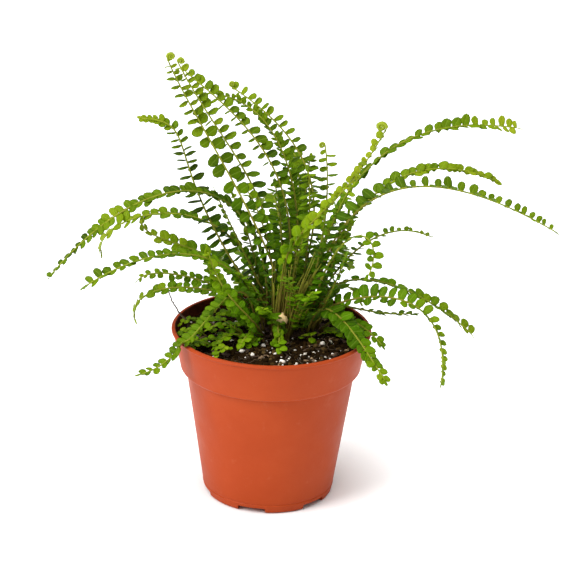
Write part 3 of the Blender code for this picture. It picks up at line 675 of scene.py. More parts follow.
def unit(vector):
    return vector / max(np.linalg.norm(vector), 1e-12)


# ---------------------------------------------------------------- pot


POT_SEGMENTS = 192
NOTCH_ROUND = 0.9 * MM


def between(first, last, steps):
    """Points from first up to but not including last."""
    return [
        (first[0] + (last[0] - first[0]) * step / steps, first[1] + (last[1] - first[1]) * step / steps)
        for step in range(steps)
    ]


def pot_profile():
    """The pot's outside from the middle of its underside to the lip, then its inside back to the middle."""
    foot_inner = BASE_RADIUS - FOOT_WIDTH - BASE_CORNER
    foot_round = 0.3 * MM
    crease = 5.0 * MM
    crease_half = 0.5 * MM
    crease_depth = 0.32 * MM
    crease_radius = BASE_RADIUS + BODY_SLOPE * crease
    step_round = 0.8 * MM
    under_lip = LIP_BOTTOM - 0.5 * MM
    lip_round = 0.5 * MM
    lip = LIP_HEIGHT / 2
    edge_round = 0.35 * MM
    ledge = BAND_BOTTOM + WALL
    body_top = (BODY_TOP_RADIUS, BAND_BOTTOM - step_round)
    outside = [(0, 0), (PAD_RADIUS, 0), (PAD_RADIUS + 2 * WALL, FOOT_HEIGHT), (foot_inner, FOOT_HEIGHT)]
    outside += [(foot_inner, foot_round), (foot_inner + foot_round, 0)]
    outside += corner((BASE_RADIUS - BASE_CORNER, BASE_CORNER), BASE_CORNER, -90, 0)
    outside += [(crease_radius - 0.05 * MM, crease - crease_half), (crease_radius - crease_depth, crease)]
    outside += [(crease_radius - 0.02 * MM, crease + crease_half)]
    outside += between((crease_radius + 0.05 * MM, crease + 1.2 * MM), body_top, 8)
    outside += corner((BODY_TOP_RADIUS + step_round, body_top[1]), step_round, 180, 90, 5)
    outside += corner((BAND_BOTTOM_RADIUS - BAND_CORNER, BAND_BOTTOM + BAND_CORNER), BAND_CORNER, -90, -8)
    band_start = (BAND_BOTTOM_RADIUS + 0.1 * MM, BAND_BOTTOM + BAND_CORNER + 0.8 * MM)
    outside += between(band_start, (BAND_TOP_RADIUS, under_lip), 4)
    outside += corner((BAND_TOP_RADIUS + lip_round, under_lip), lip_round, 180, 100, 4)
    outside += corner((RIM_RADIUS - lip, LIP_BOTTOM + lip), lip, -80, 90, 12)
    inside = [
        (0, WALL),
        (PAD_RADIUS - WALL, WALL),
        (PAD_RADIUS + WALL, FLOOR),
        (BASE_RADIUS + BODY_SLOPE * FLOOR - WALL, FLOOR),
        (BODY_TOP_RADIUS - WALL, ledge),
        (BAND_BOTTOM_RADIUS - WALL, ledge + BAND_CORNER),
        (INNER_RIM_RADIUS, LIP_BOTTOM),
        (INNER_RIM_RADIUS, POT_HEIGHT - edge_round),
        (INNER_RIM_RADIUS + edge_round, POT_HEIGHT),
    ]
    return outside + inside[::-1]


def drainage_tool():
    """What the notches in the foot and the drain holes are cut with."""
    build = bmesh.new()
    reach = BASE_RADIUS + BASE_CORNER
    inner = BASE_RADIUS - FOOT_WIDTH - 3 * BASE_CORNER
    for step in range(NOTCH_COUNT):
        towards = Matrix.Rotation(NOTCH_TURN + 2 * math.pi * step / NOTCH_COUNT, 4, "Z")
        size = Matrix.Diagonal((reach - inner, NOTCH_WIDTH, 2 * NOTCH_HEIGHT, 1))
        middle = Matrix.Translation(Vector(((reach + inner) / 2, 0, 0)))
        cube = bmesh.ops.create_cube(build, size=1, matrix=towards @ middle @ size)
        edges = list(dict.fromkeys(edge for vert in cube["verts"] for edge in vert.link_edges))
        radial = [
            edge for edge in edges
            if abs((edge.verts[0].co - edge.verts[1].co).length - (reach - inner)) < 0.1 * MM
        ]
        bmesh.ops.bevel(build, geom=radial, offset=NOTCH_ROUND, segments=4, affect="EDGES", profile=0.5)
        bmesh.ops.create_cone(
            build, cap_ends=True, segments=32, radius1=DRAIN_RADIUS, radius2=DRAIN_RADIUS, depth=4 * FLOOR,
            matrix=towards @ Matrix.Translation(Vector((DRAIN_CIRCLE, 0, FLOOR))),
        )
    mesh = bpy.data.meshes.new("notch_tool")
    build.to_mesh(mesh)
    build.free()
    tool = bpy.data.objects.new("notch_tool", mesh)
    bpy.context.scene.collection.objects.link(tool)
    return tool


def make_pot():
    """The moulded pot, with its notches and drain holes cut."""
    points, faces = turned(pot_profile(), POT_SEGMENTS)
    mesh = bpy.data.meshes.new("pot_shell")
    mesh.from_pydata(points, [], faces)
    build = bmesh.new()
    build.from_mesh(mesh)
    bmesh.ops.recalc_face_normals(build, faces=build.faces)
    build.to_mesh(mesh)
    build.free()
    mesh.materials.append(pot_material())
    pot = place("pot_shell", mesh, "pot_plastic", "pot")
    tool = drainage_tool()
    cut = pot.modifiers.new("drainage", "BOOLEAN")
    cut.operation = "DIFFERENCE"
    cut.object = tool
    cut.solver = "EXACT"
    bpy.context.view_layer.update()
    depsgraph = bpy.context.evaluated_depsgraph_get()
    cut_mesh = bpy.data.meshes.new_from_object(pot.evaluated_get(depsgraph))
    pot.modifiers.clear()
    pot.data = cut_mesh
    bpy.data.objects.remove(tool)
    pot.data.shade_smooth()
    pot.data.set_sharp_from_angle(angle=math.radians(40))


# ---------------------------------------------------------------- soil


def soil_top(x, y):
    """The height of the CAD soil's gently mounded top."""
    share = (x * x + y * y) / (INNER_RIM_RADIUS * INNER_RIM_RADIUS)
    return POT_HEIGHT - HEADSPACE + SOIL_MOUND * (1 - share)


def soil_surface(x, y):
    """The height of the soil's rough surface."""
    here = Vector((x, y, 0.011))
    rough = 1.1 * noise.noise(here * 90) + 0.7 * noise.noise(here * 210) + 0.45 * noise.noise(here * 520)
    return soil_top(x, y) + (0.5 + rough) * MM


def lump(rng, size, level, squash=0.75, rough=0.35):
    """An irregular grain, as points round its middle and faces."""
    build = bmesh.new()
    bmesh.ops.create_icosphere(build, subdivisions=level, radius=1)
    shift = Vector((rng.uniform(-50, 50), rng.uniform(-50, 50), rng.uniform(-50, 50)))
    stretch = (rng.uniform(0.8, 1.25), rng.uniform(0.65, 1.0), rng.uniform(0.55, 0.9) * squash / 0.75)
    points = []
    for vert in build.verts:
        push = 1 + rough * noise.noise(vert.co * 1.3 + shift)
        push += rough * 0.6 * noise.noise(vert.co * 3.1 + shift)
        points.append([vert.co[axis] * push * stretch[axis] for axis in range(3)])
    faces = [tuple(vert.index for vert in face.verts) for face in build.faces]
    build.free()
    heading = Matrix.Rotation(rng.uniform(0, 6.28), 3, "Z")
    turn = np.array(heading @ Matrix.Rotation(rng.uniform(-0.7, 0.7), 3, "X"))
    return np.array(points) @ turn.T * size / 2, faces


def scattered(rng, outer):
    """A place on the soil, as likely anywhere within outer of the axis."""
    radius = outer * math.sqrt(rng.random())
    angle = rng.uniform(0, 2 * math.pi)
    return radius * math.cos(angle), radius * math.sin(angle)


SOIL_RINGS = 64
SOIL_SEGMENTS = 150
SOIL_TO_WALL = 0.9 * MM
SOIL_SKIRT = 12 * MM
SOIL_SKIRT_IN = 3 * MM
SOIL_GRAINS = 1500
GRAIN_SIZES = (0.9, 1.2, 1.6, 2.0, 2.6, 3.4)


def make_soil():
    """The top of the soil as a rough closed disc, covered in grains."""
    rng = random.Random(5)
    build = Build()
    outer = INNER_RIM_RADIUS - SOIL_TO_WALL
    bottom_radius = outer - SOIL_SKIRT_IN
    bottom_height = POT_HEIGHT - HEADSPACE - SOIL_SKIRT
    angles = [2 * math.pi * step / SOIL_SEGMENTS for step in range(SOIL_SEGMENTS)]
    points = [(0, 0, soil_surface(0, 0))]
    for ring in range(1, SOIL_RINGS + 1):
        radius = outer * ring / SOIL_RINGS
        for angle in angles:
            x = radius * math.cos(angle)
            y = radius * math.sin(angle)
            points.append((x, y, soil_surface(x, y)))
    faces = [(0, 1 + step, 1 + (step + 1) % SOIL_SEGMENTS) for step in range(SOIL_SEGMENTS)]
    for ring in range(SOIL_RINGS - 1):
        low = 1 + ring * SOIL_SEGMENTS
        faces += band(low, low + SOIL_SEGMENTS, SOIL_SEGMENTS, outwards=False)
    bottom = len(points)
    for angle in angles:
        points.append((bottom_radius * math.cos(angle), bottom_radius * math.sin(angle), bottom_height))
    faces += band(bottom - SOIL_SEGMENTS, bottom, SOIL_SEGMENTS, outwards=False)
    middle = len(points)
    points.append((0, 0, bottom_height))
    faces += [(bottom + (step + 1) % SOIL_SEGMENTS, bottom + step, middle) for step in range(SOIL_SEGMENTS)]
    build.add(points, faces, chance=0.35)
    for _ in range(SOIL_GRAINS):
        x, y = scattered(rng, outer - 0.8 * MM)
        size = rng.choice(GRAIN_SIZES) * MM * rng.uniform(0.8, 1.2)
        shape, shape_faces = lump(rng, size, 1)
        build.add(shape + (x, y, soil_surface(x, y) + 0.12 * size), shape_faces, chance=rng.random())
    build.finish("soil_mix", [soil_material()], "potting_mix", "soil")


PERLITE_DRAWS = 150
PERLITE_NEAR_FRONT = 60
LOOSE_WITHIN = 48 * MM


def make_perlite():
    """Perlite grains, many of them at the front of the pot where the soil is open."""
    rng = random.Random(11)
    build = Build()
    for number in range(PERLITE_DRAWS):
        if number < PERLITE_NEAR_FRONT:
            x = rng.gauss(20, 14) * MM
            y = rng.gauss(-30, 9) * MM
        else:
            x, y = scattered(rng, 47 * MM)
        if math.hypot(x, y) > LOOSE_WITHIN:
            continue
        size = (0.8 + 2.2 * rng.random() ** 2) * MM
        shape, faces = lump(rng, size, 2, rough=0.45)
        build.add(shape + (x, y, soil_surface(x, y) + 0.2 * size), faces)
    build.finish("perlite", [perlite_material()], "potting_mix")


# The tan chip caught among the stipes at the front of the crown
TAN_CHIP_SIZE = 6.5 * MM
TAN_CHIP_X = 5.5 * MM
TAN_CHIP_Y = -9 * MM
TAN_CHIP_REST_Y = -8 * MM
TAN_CHIP_LIFT = 13 * MM
TAN_CHIP_TONE = 1.8
BARK_CHIPS = 120


def make_bark():
    """Bark chips lying in the soil, and one pale chip held up by the stipes."""
    rng = random.Random(23)
    build = Build()
    shape, faces = lump(rng, TAN_CHIP_SIZE, 2, 1.1, 0.5)
    lift = crown_top(TAN_CHIP_X, TAN_CHIP_REST_Y) + TAN_CHIP_LIFT
    build.add(shape + (TAN_CHIP_X, TAN_CHIP_Y, lift), faces, chance=TAN_CHIP_TONE)
    for _ in range(BARK_CHIPS):
        x, y = scattered(rng, 46 * MM)
        size = rng.uniform(2.0, 6.0) * MM
        shape, faces = lump(rng, size, 1, 0.35, 0.5)
        shape[:, 1] *= rng.uniform(0.35, 0.7)
        heading = Matrix.Rotation(rng.uniform(0, 6.28), 3, "Z")
        turn = np.array(heading @ Matrix.Rotation(rng.gauss(0, 0.35), 3, "X"))
        build.add(shape @ turn.T + (x, y, soil_surface(x, y) + 0.5 * MM), faces, chance=rng.random())
    build.finish("bark_chips", [bark_material()], "potting_mix")


# Only starts a tube's ring off; no tube runs this way
ANY_DIRECTION = (0.31, 0.17, 0.93)


def tube(build, route, radii, sides, slot, ages):
    """A closed tube along a route of points, with a radius and an age for each of them."""
    route = np.asarray(route, float)
    tangent = np.gradient(route, axis=0)
    tangent /= np.linalg.norm(tangent, axis=1)[:, None]
    side = unit(np.cross(tangent[0], ANY_DIRECTION))
    points = []
    for place_at, direction, radius in zip(route, tangent, radii):
        side = unit(side - direction * side.dot(direction))
        up = np.cross(direction, side)
        for step in range(sides):
            angle = 2 * math.pi * step / sides
            points.append(place_at + radius * (math.cos(angle) * side + math.sin(angle) * up))
    faces = []
    for ring in range(len(route) - 1):
        faces += band(ring * sides, (ring + 1) * sides, sides)
    last = (len(route) - 1) * sides
    faces.append(tuple(range(sides))[::-1])
    faces.append(tuple(last + step for step in range(sides)))
    build.add(points, faces, slot, age=np.repeat(ages, sides))


ROOT_THREADS = 170
THREAD_STEPS = 9


def make_fibres(material):
    """Dry roots and moss threads lying on the soil."""
    rng = random.Random(31)
    build = Build()
    for _ in range(ROOT_THREADS):
        x, y = scattered(rng, 44 * MM)
        heading = rng.uniform(0, 2 * math.pi)
        step = rng.uniform(0.5, 1.3) * MM
        route = []
        for _ in range(THREAD_STEPS):
            if math.hypot(x, y) > LOOSE_WITHIN:
                break
            route.append((x, y, soil_surface(x, y) + rng.uniform(0.3, 1.3) * MM))
            heading += rng.gauss(0, 0.5)
            x += step * math.cos(heading)
            y += step * math.sin(heading)
        if len(route) > 3:
            radius = rng.uniform(0.10, 0.22) * MM
            tube(build, route, [radius] * len(route), 4, 0, [rng.random()] * len(route))
    build.finish("root_threads", [material], "potting_mix")


# ---------------------------------------------------------------- crown


def crown_top(x, y):
    """The height of the CAD crown's top, or of the soil's beside it."""
    across = (x - CROWN_X) / (CROWN_LENGTH / 2)
    along = (y - CROWN_Y) / (CROWN_WIDTH / 2)
    dome = 1 - across * across - along * along
    if dome <= 0:
        return soil_top(x, y)
    return soil_top(x, y) + GAP + CROWN_HEIGHT * math.sqrt(dome)


CROWN_RINGS = 18
CROWN_SEGMENTS = 64
CROWN_SCALES = 260
SHORT_STIPES = 64
BUNDLE_STIPES = 46
STIPE_IN_CROWN = 1 * MM


def on_crown(share, angle):
    """A place on the crown, at a share of the way from its middle to its edge."""
    x = CROWN_X + CROWN_LENGTH / 2 * share * math.cos(angle)
    return x, CROWN_Y + CROWN_WIDTH / 2 * share * math.sin(angle)


def make_crown(stalk, bark):
    """The scaly crown with short bare stipes, and the bundle of taller ones right of the middle."""
    rng = random.Random(41)
    build = Build()
    points = []
    for ring in range(CROWN_RINGS + 1):
        share = ring / CROWN_RINGS
        for step in range(CROWN_SEGMENTS):
            x, y = on_crown(share, 2 * math.pi * step / CROWN_SEGMENTS)
            here = Vector((x, y, 0))
            rough = 1.3 * noise.noise(here * 260) + 0.9 * noise.noise(here * 600)
            points.append((x, y, crown_top(x, y) + (rough - 0.8) * MM * (1 - 0.6 * share)))
    faces = []
    for ring in range(CROWN_RINGS):
        low = ring * CROWN_SEGMENTS
        faces += band(low, low + CROWN_SEGMENTS, CROWN_SEGMENTS, outwards=False)
    build.add(points, faces, chance=0.25)
    for _ in range(CROWN_SCALES):
        angle = rng.uniform(0, 2 * math.pi)
        x, y = on_crown(math.sqrt(rng.random()) * 0.98, angle)
        shape, shape_faces = lump(rng, rng.uniform(1.4, 3.2) * MM, 1, 0.5, 0.5)
        build.add(shape + (x, y, crown_top(x, y) - 0.4 * MM), shape_faces, chance=rng.random() * 0.75)
    for _ in range(SHORT_STIPES):
        angle = rng.uniform(0, 2 * math.pi)
        share = math.sqrt(rng.random()) * 0.85
        x, y = on_crown(share, angle)
        height = rng.uniform(5, 24) * MM
        aside = 0.5 * share * math.cos(angle) + rng.gauss(0, 0.15)
        away = 0.5 * share * math.sin(angle) + rng.gauss(0, 0.15)
        base = crown_top(x, y) - STIPE_IN_CROWN
        route = [
            (x + aside * height * t * t, y + away * height * t * t, base + height * t)
            for t in (0, 0.35, 0.7, 1)
        ]
        tube(build, route, [0.8 * MM, 0.6 * MM, 0.5 * MM, 0.4 * MM], 7, 1, [0.1, 0.3, 0.45, 0.5])
    for _ in range(BUNDLE_STIPES):
        x = rng.uniform(0, 11) * MM
        y = rng.uniform(-8, 3) * MM
        height = rng.uniform(22, 52) * MM
        aside = rng.uniform(-0.05, 0.38)
        away = rng.gauss(-0.08, 0.1)
        base = crown_top(x, y) - STIPE_IN_CROWN
        route = [
            (x + aside * height * t**1.4, y + away * height * t**1.4, base + height * t)
            for t in (0, 0.2, 0.4, 0.6, 0.8, 1)
        ]
        ages = np.linspace(0.1, 0.5, len(route)) + rng.uniform(-0.08, 0.1)
        tube(build, route, np.linspace(0.42, 0.2, len(route)) * MM, 7, 1, ages)
    build.finish("crown_scaly", [bark, stalk], "rhizome", "crown")


# ---------------------------------------------------------------- fronds


def above_pot(point):
    """The point, raised where needed so that a frond lies over the soil and the rim, never through them."""
    radius = math.hypot(point.x, point.y)
    soil = POT_HEIGHT - HEADSPACE + SOIL_MOUND + OVER_SOIL
    rim = POT_HEIGHT + OVER_RIM
    over = smooth_step((radius - (INNER_RIM_RADIUS - RIM_APPROACH)) / (RIM_APPROACH - 2 * WALL))
    floor = soil + (rim - soil) * over - 2 * max(0, radius - (RIM_RADIUS + WALL))
    above = point.z - floor
    raised = (above + math.sqrt(above * above + SOFTNESS * SOFTNESS)) / 2
    return Vector((point.x, point.y, floor + raised))


def frond_route(base, rise, arch, tip):
    """Points along a frond's midrib, on the same curve as the CAD solid."""
    x = base[0] * MM
    y = base[1] * MM
    start = Vector((x, y, crown_top(x, y) + GAP + STIPE_RADIUS))
    rim = Vector((0, 0, POT_HEIGHT))
    handles = [rim + Vector(handle) * MM for handle in (rise, arch, tip)]
    points = []
    for step in range(ROUTE_STEPS + 1):
        t = step / ROUTE_STEPS
        u = 1 - t
        point = u**3 * start + 3 * u * u * t * handles[0] + 3 * u * t * t * handles[1]
        point += t**3 * handles[2]
        points.append(tuple(start.lerp(above_pot(point), smooth_step(t / SETTLE_SHARE))))
    return np.array(points)


class Route:
    """A curve that can be read at any distance along it."""

    def __init__(self, points):
        self.points = points
        steps = np.linalg.norm(np.diff(points, axis=0), axis=1)
        self.reach = np.concatenate(([0], np.cumsum(steps)))
        self.length = self.reach[-1]
        tangent = np.gradient(points, self.reach, axis=0)
        self.tangent = tangent / np.linalg.norm(tangent, axis=1)[:, None]

    def at(self, distance):
        return np.array([np.interp(distance, self.reach, self.points[:, axis]) for axis in range(3)])

    def direction(self, distance):
        return unit(np.array([np.interp(distance, self.reach, self.tangent[:, axis]) for axis in range(3)]))


RIM_POINTS = 22
LEAF_RINGS = (0.42, 0.78)
LEAF_MIDDLE = (0.46, 0.03)
LEAF_THICKNESS = 0.22 * MM
MIDRIB_SLANT = 0.03
STALK_TO_MIDRIB = 0.16


def leaflet_outline(rng):
    """The edge of a leaflet of length and width 1: a rounded, scalloped blade with an uneven base.

    x runs from the stalk to the tip and y across, towards the frond's tip."""
    turn = np.arange(RIM_POINTS) * 2 * math.pi / RIM_POINTS
    x = 0.40 + 0.60 * np.sign(np.cos(turn)) * np.abs(np.cos(turn)) ** 0.92
    y = 0.5 * np.sign(np.sin(turn)) * np.abs(np.sin(turn)) ** 0.9
    cut = np.clip(x / 0.45, 0, 1)
    cut = cut * cut * (3 - 2 * cut)
    y = np.where(y < 0, y * (0.35 + 0.65 * cut), y)
    scallop = 1 + 0.02 * np.where(np.arange(RIM_POINTS) % 2, 1, -1) * np.clip((x - 0.15) / 0.2, 0, 1)
    scallop += np.array([rng.gauss(0, 0.015) for _ in range(RIM_POINTS)])
    x = 0.4 + (x - 0.4) * scallop
    y = y * scallop + 0.08 * x * x
    return np.stack((np.maximum(x, 0.01 * np.cos(turn) - 0.01), y), 1)


def leaflet_faces():
    """Faces of a leaflet: its upper side, then its underside, which share the rim."""
    faces = []
    rim = 0
    for side, start in enumerate((RIM_POINTS, RIM_POINTS + 1 + 2 * RIM_POINTS)):
        centre = start
        inner = start + 1
        outer = inner + RIM_POINTS
        for step in range(RIM_POINTS):
            after = (step + 1) % RIM_POINTS
            loops = [
                (centre, inner + step, inner + after),
                (inner + step, outer + step, outer + after, inner + after),
                (outer + step, rim + step, rim + after, outer + after),
            ]
            faces += loops if side == 0 else [loop[::-1] for loop in loops]
    return faces


LEAF_FACES = leaflet_faces()


def add_leaflet(build, rng, base, out, onward, up, length, width, age, bend=None):
    """One leaflet, from base along out. onward points to the frond's tip and up is its upper side."""
    flip = np.cross(out, onward).dot(up) < 0
    edge = leaflet_outline(rng)
    centre = np.array(LEAF_MIDDLE)
    rings = [centre[None] + (edge - centre) * share for share in LEAF_RINGS]
    flat = np.concatenate([edge, centre[None], *rings, centre[None], *rings])
    bend = rng.uniform(0.02, 0.16) if bend is None else bend
    cup = rng.uniform(-0.05, 0.22)
    wave = rng.uniform(0.0, 0.035)
    phase = rng.uniform(0, 6.28)
    x = flat[:, 0]
    y = flat[:, 1]
    from_middle = np.hypot(x - centre[0], y - centre[1]) * 2
    groove = 0.03 * np.exp(-((y - MIDRIB_SLANT * x) / 0.06) ** 2)
    height = -bend * x * x - cup * y * y - groove
    height = height + wave * np.sin(3 * np.arctan2(y, x - centre[0]) + phase) * from_middle * from_middle
    many = 1 + 2 * RIM_POINTS
    shares = np.concatenate(([0.0], np.full(RIM_POINTS, LEAF_RINGS[0]), np.full(RIM_POINTS, LEAF_RINGS[1])))
    body = LEAF_THICKNESS / 2 * (1 - shares**4)
    thick = np.zeros(len(flat))
    thick[RIM_POINTS:RIM_POINTS + many] = body
    thick[RIM_POINTS + many:] = -body
    points = (
        base
        + np.outer(x * length, out)
        + np.outer((y + STALK_TO_MIDRIB) * width, onward)
        + np.outer(height * length + thick, up)
    )
    under = np.zeros(len(flat))
    under[RIM_POINTS + many:] = 1
    uv = np.stack((x, y - MIDRIB_SLANT * x + 0.5), 1)
    faces = [face[::-1] for face in LEAF_FACES] if flip else LEAF_FACES
    build.add(points, faces, 0, uv, age, rng.random(), under)


STALK_BASE = 0.69 * MM
STALK_TIP = 0.38 * MM
STALK_FLARE = (1.5, 1.25, 1.1)
STALK_STEP = 2.2 * MM
FIRST_FROND_SEED = 100
UP = np.array((0, 0, 1.0))


def spread(values, share):
    """The value at a share of the way along evenly spaced values."""
    return float(np.interp(share, np.linspace(0, 1, len(values)), values))


def row_of(values, row):
    """The values of one row, where both rows may share them."""
    return values[row] if isinstance(values[0], tuple) else values


def onward_of(face, out, direction):
    """The way across a leaflet, turned so that it points along the frond."""
    onward = np.cross(face, out)
    return -onward if onward.dot(direction) < 0 else onward


def make_frond(name, curve, leaf, stalk, seed):
    """One frond: its stalk and midrib, with two rows of leaflets that alternate along it."""
    look = look_of(name)
    rng = random.Random(seed)
    route = Route(frond_route(*curve[:4]))
    turn = math.radians(curve[4])
    outwards = route.points[-1] - route.points[0]
    outwards[2] = 0
    sideways = np.cross(unit(outwards), UP)
    build = Build()
    length = route.length
    start = length * look["bare"]
    loose = look["loose"]

    def frame_at(distance):
        """The midrib's place and direction, the blade's right-hand side and its upper side."""
        direction = route.direction(distance)
        side = unit(sideways - direction * sideways.dot(direction))
        up = np.cross(side, direction)
        turned_side = side * math.cos(turn) - up * math.sin(turn)
        return route.at(distance), direction, turned_side, np.cross(turned_side, direction)

    distances = np.linspace(0, length, max(10, int(length / STALK_STEP)))
    radii = STALK_BASE - (STALK_BASE - STALK_TIP) * (distances / length) ** 0.8
    radii[:3] *= STALK_FLARE
    centre = np.array([route.at(distance) for distance in distances])
    ages = 0.1 + 0.8 * (distances / length) ** 0.8
    if look["coil"]:
        centre, radii, ages = with_coil(centre, radii, ages, frame_at(length), look, rng, build)
    tube(build, centre, radii, 8, 1, ages)

    distance = start
    row = 0
    while distance < length - (0.5 + 0.8 * look["coil"]) * MM:
        share = (distance - start) / (length - start)
        size = spread(look["leaf"], share) * MM * look["size"][row] * rng.uniform(0.82, 1.12)
        middle, direction, side, up = frame_at(distance)
        hand_side = side * (1 - 2 * row)
        fold = math.radians(spread(row_of(look["fold"], row), share) + rng.gauss(0, 8 * loose))
        lean = math.radians(spread(look["lean"], share) + rng.gauss(0, 8 * loose))
        out = hand_side * math.cos(fold) + up * math.sin(fold)
        out = unit(out * math.cos(lean) + direction * math.sin(lean))
        face = up * math.cos(fold) - hand_side * math.sin(fold)
        level = spread(row_of(look["level"], row), share)
        wobble = np.array([rng.gauss(0, 0.14 * loose) for _ in range(3)])
        face = face * (1 - level) + UP * level + wobble
        face = unit(face - out * face.dot(out))
        onward = onward_of(face, out, direction)
        age = spread(look["age"], share) + rng.gauss(0, 0.05)
        wide = size * look["wide"] * rng.uniform(1.0, 1.18)
        add_leaflet(build, rng, middle, out, onward, face, size, wide, age)
        distance += spread(look["gap"], share) * MM / 2 * rng.uniform(0.75, 1.25)
        row = 1 - row
    if not look["coil"]:
        middle, direction, side, up = frame_at(length)
        size = look["leaf"][-1] * MM * 0.8
        add_leaflet(build, rng, middle, direction, side, up, size, size * 0.6, look["age"][-1])
    slot = "young_leaf" if "young" in name or "lime" in name else "leaf"
    build.finish("frond_" + name + "_foliage", [leaf, stalk], slot, "frond_" + name)


COIL_TURNS = 1.6
COIL_STEPS = 26


def with_coil(centre, radii, ages, tip_frame, look, rng, build):
    """The route with a fiddlehead at its end: the unopened tip, rolled up with its flat side to the front or
    back of the plant, with small folded leaflets round it."""
    place_at, direction, blade_side, _ = tip_frame
    front = np.array((0, 1.0, 0)) * (1 if blade_side[1] >= 0 else -1)
    side = unit(front - direction * front.dot(direction))
    up = np.cross(side, direction)
    coil = look["coil"] * MM
    middle = place_at + up * coil
    points = []
    thick = []
    for step in range(1, COIL_STEPS + 1):
        angle = COIL_TURNS * 2 * math.pi * step / COIL_STEPS
        radius = coil * (1 - 0.9 * step / COIL_STEPS)
        points.append(middle + radius * (math.sin(angle) * direction - math.cos(angle) * up))
        thick.append(max(0.36 * coil * (1 - 0.3 * step / COIL_STEPS), 0.2 * MM))
    for step in range(COIL_STEPS):
        angle = COIL_TURNS * 2 * math.pi * (step + 1) / COIL_STEPS
        radius = coil * (1 - 0.9 * step / COIL_STEPS)
        outwards = math.sin(angle) * direction - math.cos(angle) * up
        around = math.cos(angle) * direction + math.sin(angle) * up
        at = middle + outwards * radius
        for hand in (1, -1):
            out = unit(side * hand * 0.55 + outwards * 0.25 + around * 0.8)
            face = unit(side * hand - out * out.dot(side * hand) + outwards * 0.4)
            onward = unit(np.cross(face, out))
            size = coil * rng.uniform(0.3, 0.5)
            add_leaflet(build, rng, at, out, onward, face, size, size, look["age"][-1], bend=0.5)
    return (
        np.concatenate([centre, points]),
        np.concatenate([radii, thick]),
        np.concatenate([ages, np.full(COIL_STEPS, 1.0)]),
    )


# Sprouts at the foot of the plant: base (x, y) on the soil, heading in degrees and length, in millimetres
SPROUTS = (
    (-35, 9, 200, 13), (-33, -5, 190, 15), (-27, -3, 170, 12), (-24, -12, 215, 14), (-19, 4, 165, 14),
    (-13, -5, 200, 13), (-20, -24, 240, 13), (-28, -20, 205, 14), (-9, 2, 185, 13), (-14, 12, 160, 15),
    (3, -17, 280, 10), (14, -5, 330, 9), (-33, -17, 180, 11), (-4, -10, 240, 12), (24, -2, 350, 12),
)


SPROUT_STEPS = 12
FIRST_SPROUT_SEED = 500


def make_sprouts(leaf, stalk):
    """Short new fronds with a few round leaflets, low over the soil."""
    build = Build()
    for number, (x, y, heading, reach) in enumerate(SPROUTS):
        rng = random.Random(FIRST_SPROUT_SEED + number)
        towards = np.array((math.cos(math.radians(heading)), math.sin(math.radians(heading)), 0))
        side = np.cross(towards, (0, 0, 1))
        base = np.array((x * MM, y * MM, soil_surface(x * MM, y * MM)))
        rise = rng.uniform(3.5, 6.5) * MM
        points = []
        for step in range(SPROUT_STEPS + 1):
            lift = np.array((0, 0, rise * math.sin(2.4 * step / SPROUT_STEPS)))
            points.append(base + towards * reach * MM * step / SPROUT_STEPS + lift)
        route = Route(np.array(points))
        radii = np.linspace(0.35, 0.22, len(points)) * MM
        tube(build, points, radii, 6, 1, np.linspace(0.5, 0.9, len(points)))
        distance = 0.25 * route.length
        hand = 1
        while distance < route.length:
            direction = route.direction(distance)
            out = unit(side * hand + direction * 0.35 + np.array((0, 0, rng.uniform(-0.1, 0.45))))
            face = np.array([rng.gauss(0, 0.25), rng.gauss(0, 0.25) - 0.25, 1.0])
            face = unit(face - out * face.dot(out))
            onward = onward_of(face, out, direction)
            size = rng.uniform(3.4, 4.6) * MM
            age = rng.uniform(0.5, 0.85)
            add_leaflet(build, rng, route.at(distance), out, onward, face, size, size * 0.92, age)
            distance += rng.uniform(1.3, 2.0) * MM
            hand = -hand
        add_leaflet(build, rng, route.at(route.length), direction, side, face, 3.6 * MM, 3.2 * MM, 0.85)
    build.finish("young_sprouts", [leaf, stalk], "young_leaf")


BARE_STALK_STEPS = 26


def make_bare_stalk(finish):
    """The dead, wiry stalk at the left of the pot."""
    wall = -INNER_RIM_RADIUS / MM
    route = Route(frond_route(*[(point[0] + wall, *point[1:]) for point in BARE_STALK]))
    distances = np.linspace(0, route.length, BARE_STALK_STEPS)
    rng = random.Random(3)
    centre = np.array([route.at(distance) for distance in distances])
    centre[3:-1] += [[rng.gauss(0, 0.12 * MM) for _ in range(3)] for _ in range(BARE_STALK_STEPS - 4)]
    radii = BARE_STALK_RADIUS * (1 - 0.35 * distances / route.length)
    build = Build()
    tube(build, centre, radii, 8, 0, distances * 0)
    build.finish("dead_stipe", [finish], "dead_stalk", "stalk_bare")


# ---------------------------------------------------------------- stage, light and camera


FLOOR_REACH = 8
FLOOR_DROP = 0.0002
FLOOR_GLOW = 0.36
WORLD_LIGHT = 0.45


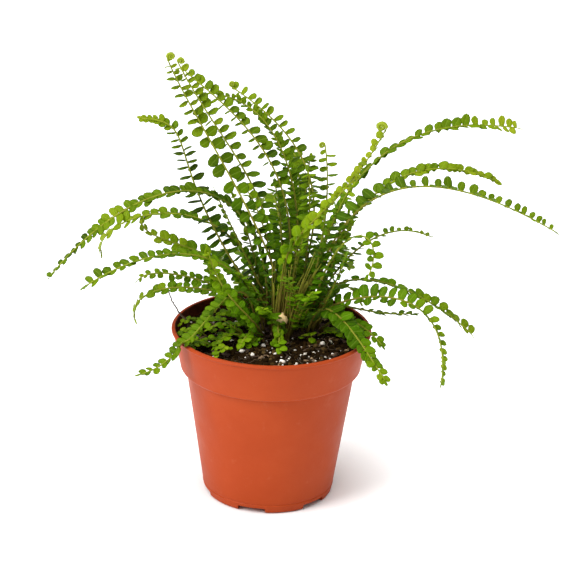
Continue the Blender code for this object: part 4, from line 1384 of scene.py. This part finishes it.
def make_floor():
    """A white floor with painted light: it glows more the farther it lies from the pot, which lifts the pot's
    cast shadow and leaves shade only at the pot's foot.
    """
    points, faces = turned([(0, 0), (0.6, 0), (2, 0), (FLOOR_REACH, 0)], 64)
    mesh = bpy.data.meshes.new("studio_floor")
    mesh.from_pydata(points, [], faces)
    made, tree, shader, where = new_material("pale_floor")
    cloud = ranged(tree, noised(tree, where, 4), 0.3, 0.7)
    painted(tree, shader, mixed(tree, cloud, (0.93, 0.93, 0.93, 1), (0.95, 0.95, 0.95, 1)), 0.9, 0.1)
    # Painted light: emission that rises away from the pot washes out the cast shadow on the floor.
    shader.inputs["Emission Color"].default_value = (1, 1, 1, 1)
    away = node(tree, "VectorMath", {0: where}, operation="LENGTH").outputs["Value"]
    tree.links.new(ranged(tree, away, 0.034, 0.075, 0.0, FLOOR_GLOW), shader.inputs["Emission Strength"])
    mesh.materials.append(made)
    floor = bpy.data.objects.new("studio_floor", mesh)
    floor.location.z = -FLOOR_DROP
    bpy.context.scene.collection.objects.link(floor)


def add_light(name, direction, strength, softness):
    """A soft light far away that shines along direction, softness degrees wide in the sky."""
    data = bpy.data.lights.new(name, "SUN")
    data.energy = strength
    data.angle = math.radians(softness)
    light = bpy.data.objects.new(name, data)
    light.rotation_euler = Vector(direction).to_track_quat("-Z", "Y").to_euler()
    bpy.context.scene.collection.objects.link(light)


def make_light():
    """A white world, brighter to the camera than as a light, with a key light and a softer one from above."""
    world = bpy.data.worlds.new("studio")
    world.use_nodes = True
    tree = world.node_tree
    background = tree.nodes["Background"]
    background.inputs["Color"].default_value = (1, 1, 1, 1)
    seen = node(tree, "LightPath").outputs["Is Camera Ray"]
    tree.links.new(ranged(tree, seen, 0, 1, WORLD_LIGHT, 1.0), background.inputs["Strength"])
    bpy.context.scene.world = world
    add_light("key", (0.66, 0.42, -0.62), 2.3, 30)
    add_light("top", (0.05, 0.10, -1.0), 2.2, 70)


CAMERA_PLACE = (0.0082, -1.0644, 0.5368)
CAMERA_PITCH = math.radians(21.6)
CAMERA_ROLL = math.radians(1.5)
CAMERA_LENS = 136
CAMERA_SENSOR = 36


def make_camera():
    """The camera at the photograph's angle: looking down a little and very slightly rolled."""
    data = bpy.data.cameras.new("camera")
    data.sensor_width = CAMERA_SENSOR
    data.lens = CAMERA_LENS
    camera = bpy.data.objects.new("camera", data)
    forward = Vector((0, math.cos(CAMERA_PITCH), -math.sin(CAMERA_PITCH)))
    level = Vector((1, 0, 0))
    upward = level.cross(forward)
    right = level * math.cos(CAMERA_ROLL) + upward * math.sin(CAMERA_ROLL)
    top = upward * math.cos(CAMERA_ROLL) - level * math.sin(CAMERA_ROLL)
    turn = Matrix((right, top, -forward)).transposed()
    camera.matrix_world = Matrix.Translation(CAMERA_PLACE) @ turn.to_4x4()
    bpy.context.scene.collection.objects.link(camera)
    bpy.context.scene.camera = camera


def main():
    bpy.context.scene.view_settings.view_transform = "Standard"
    leaf = leaf_material()
    stalk = stalk_material()
    dead = dead_material()
    bark = bark_material()
    make_pot()
    make_soil()
    make_perlite()
    make_bark()
    make_fibres(dead)
    make_crown(stalk, bark)
    for number, (name, curve) in enumerate(CURVES.items()):
        make_frond(name, curve, leaf, stalk, FIRST_FROND_SEED + number)
    make_sprouts(leaf, stalk)
    make_bare_stalk(dead)
    make_floor()
    make_light()
    make_camera()


main()
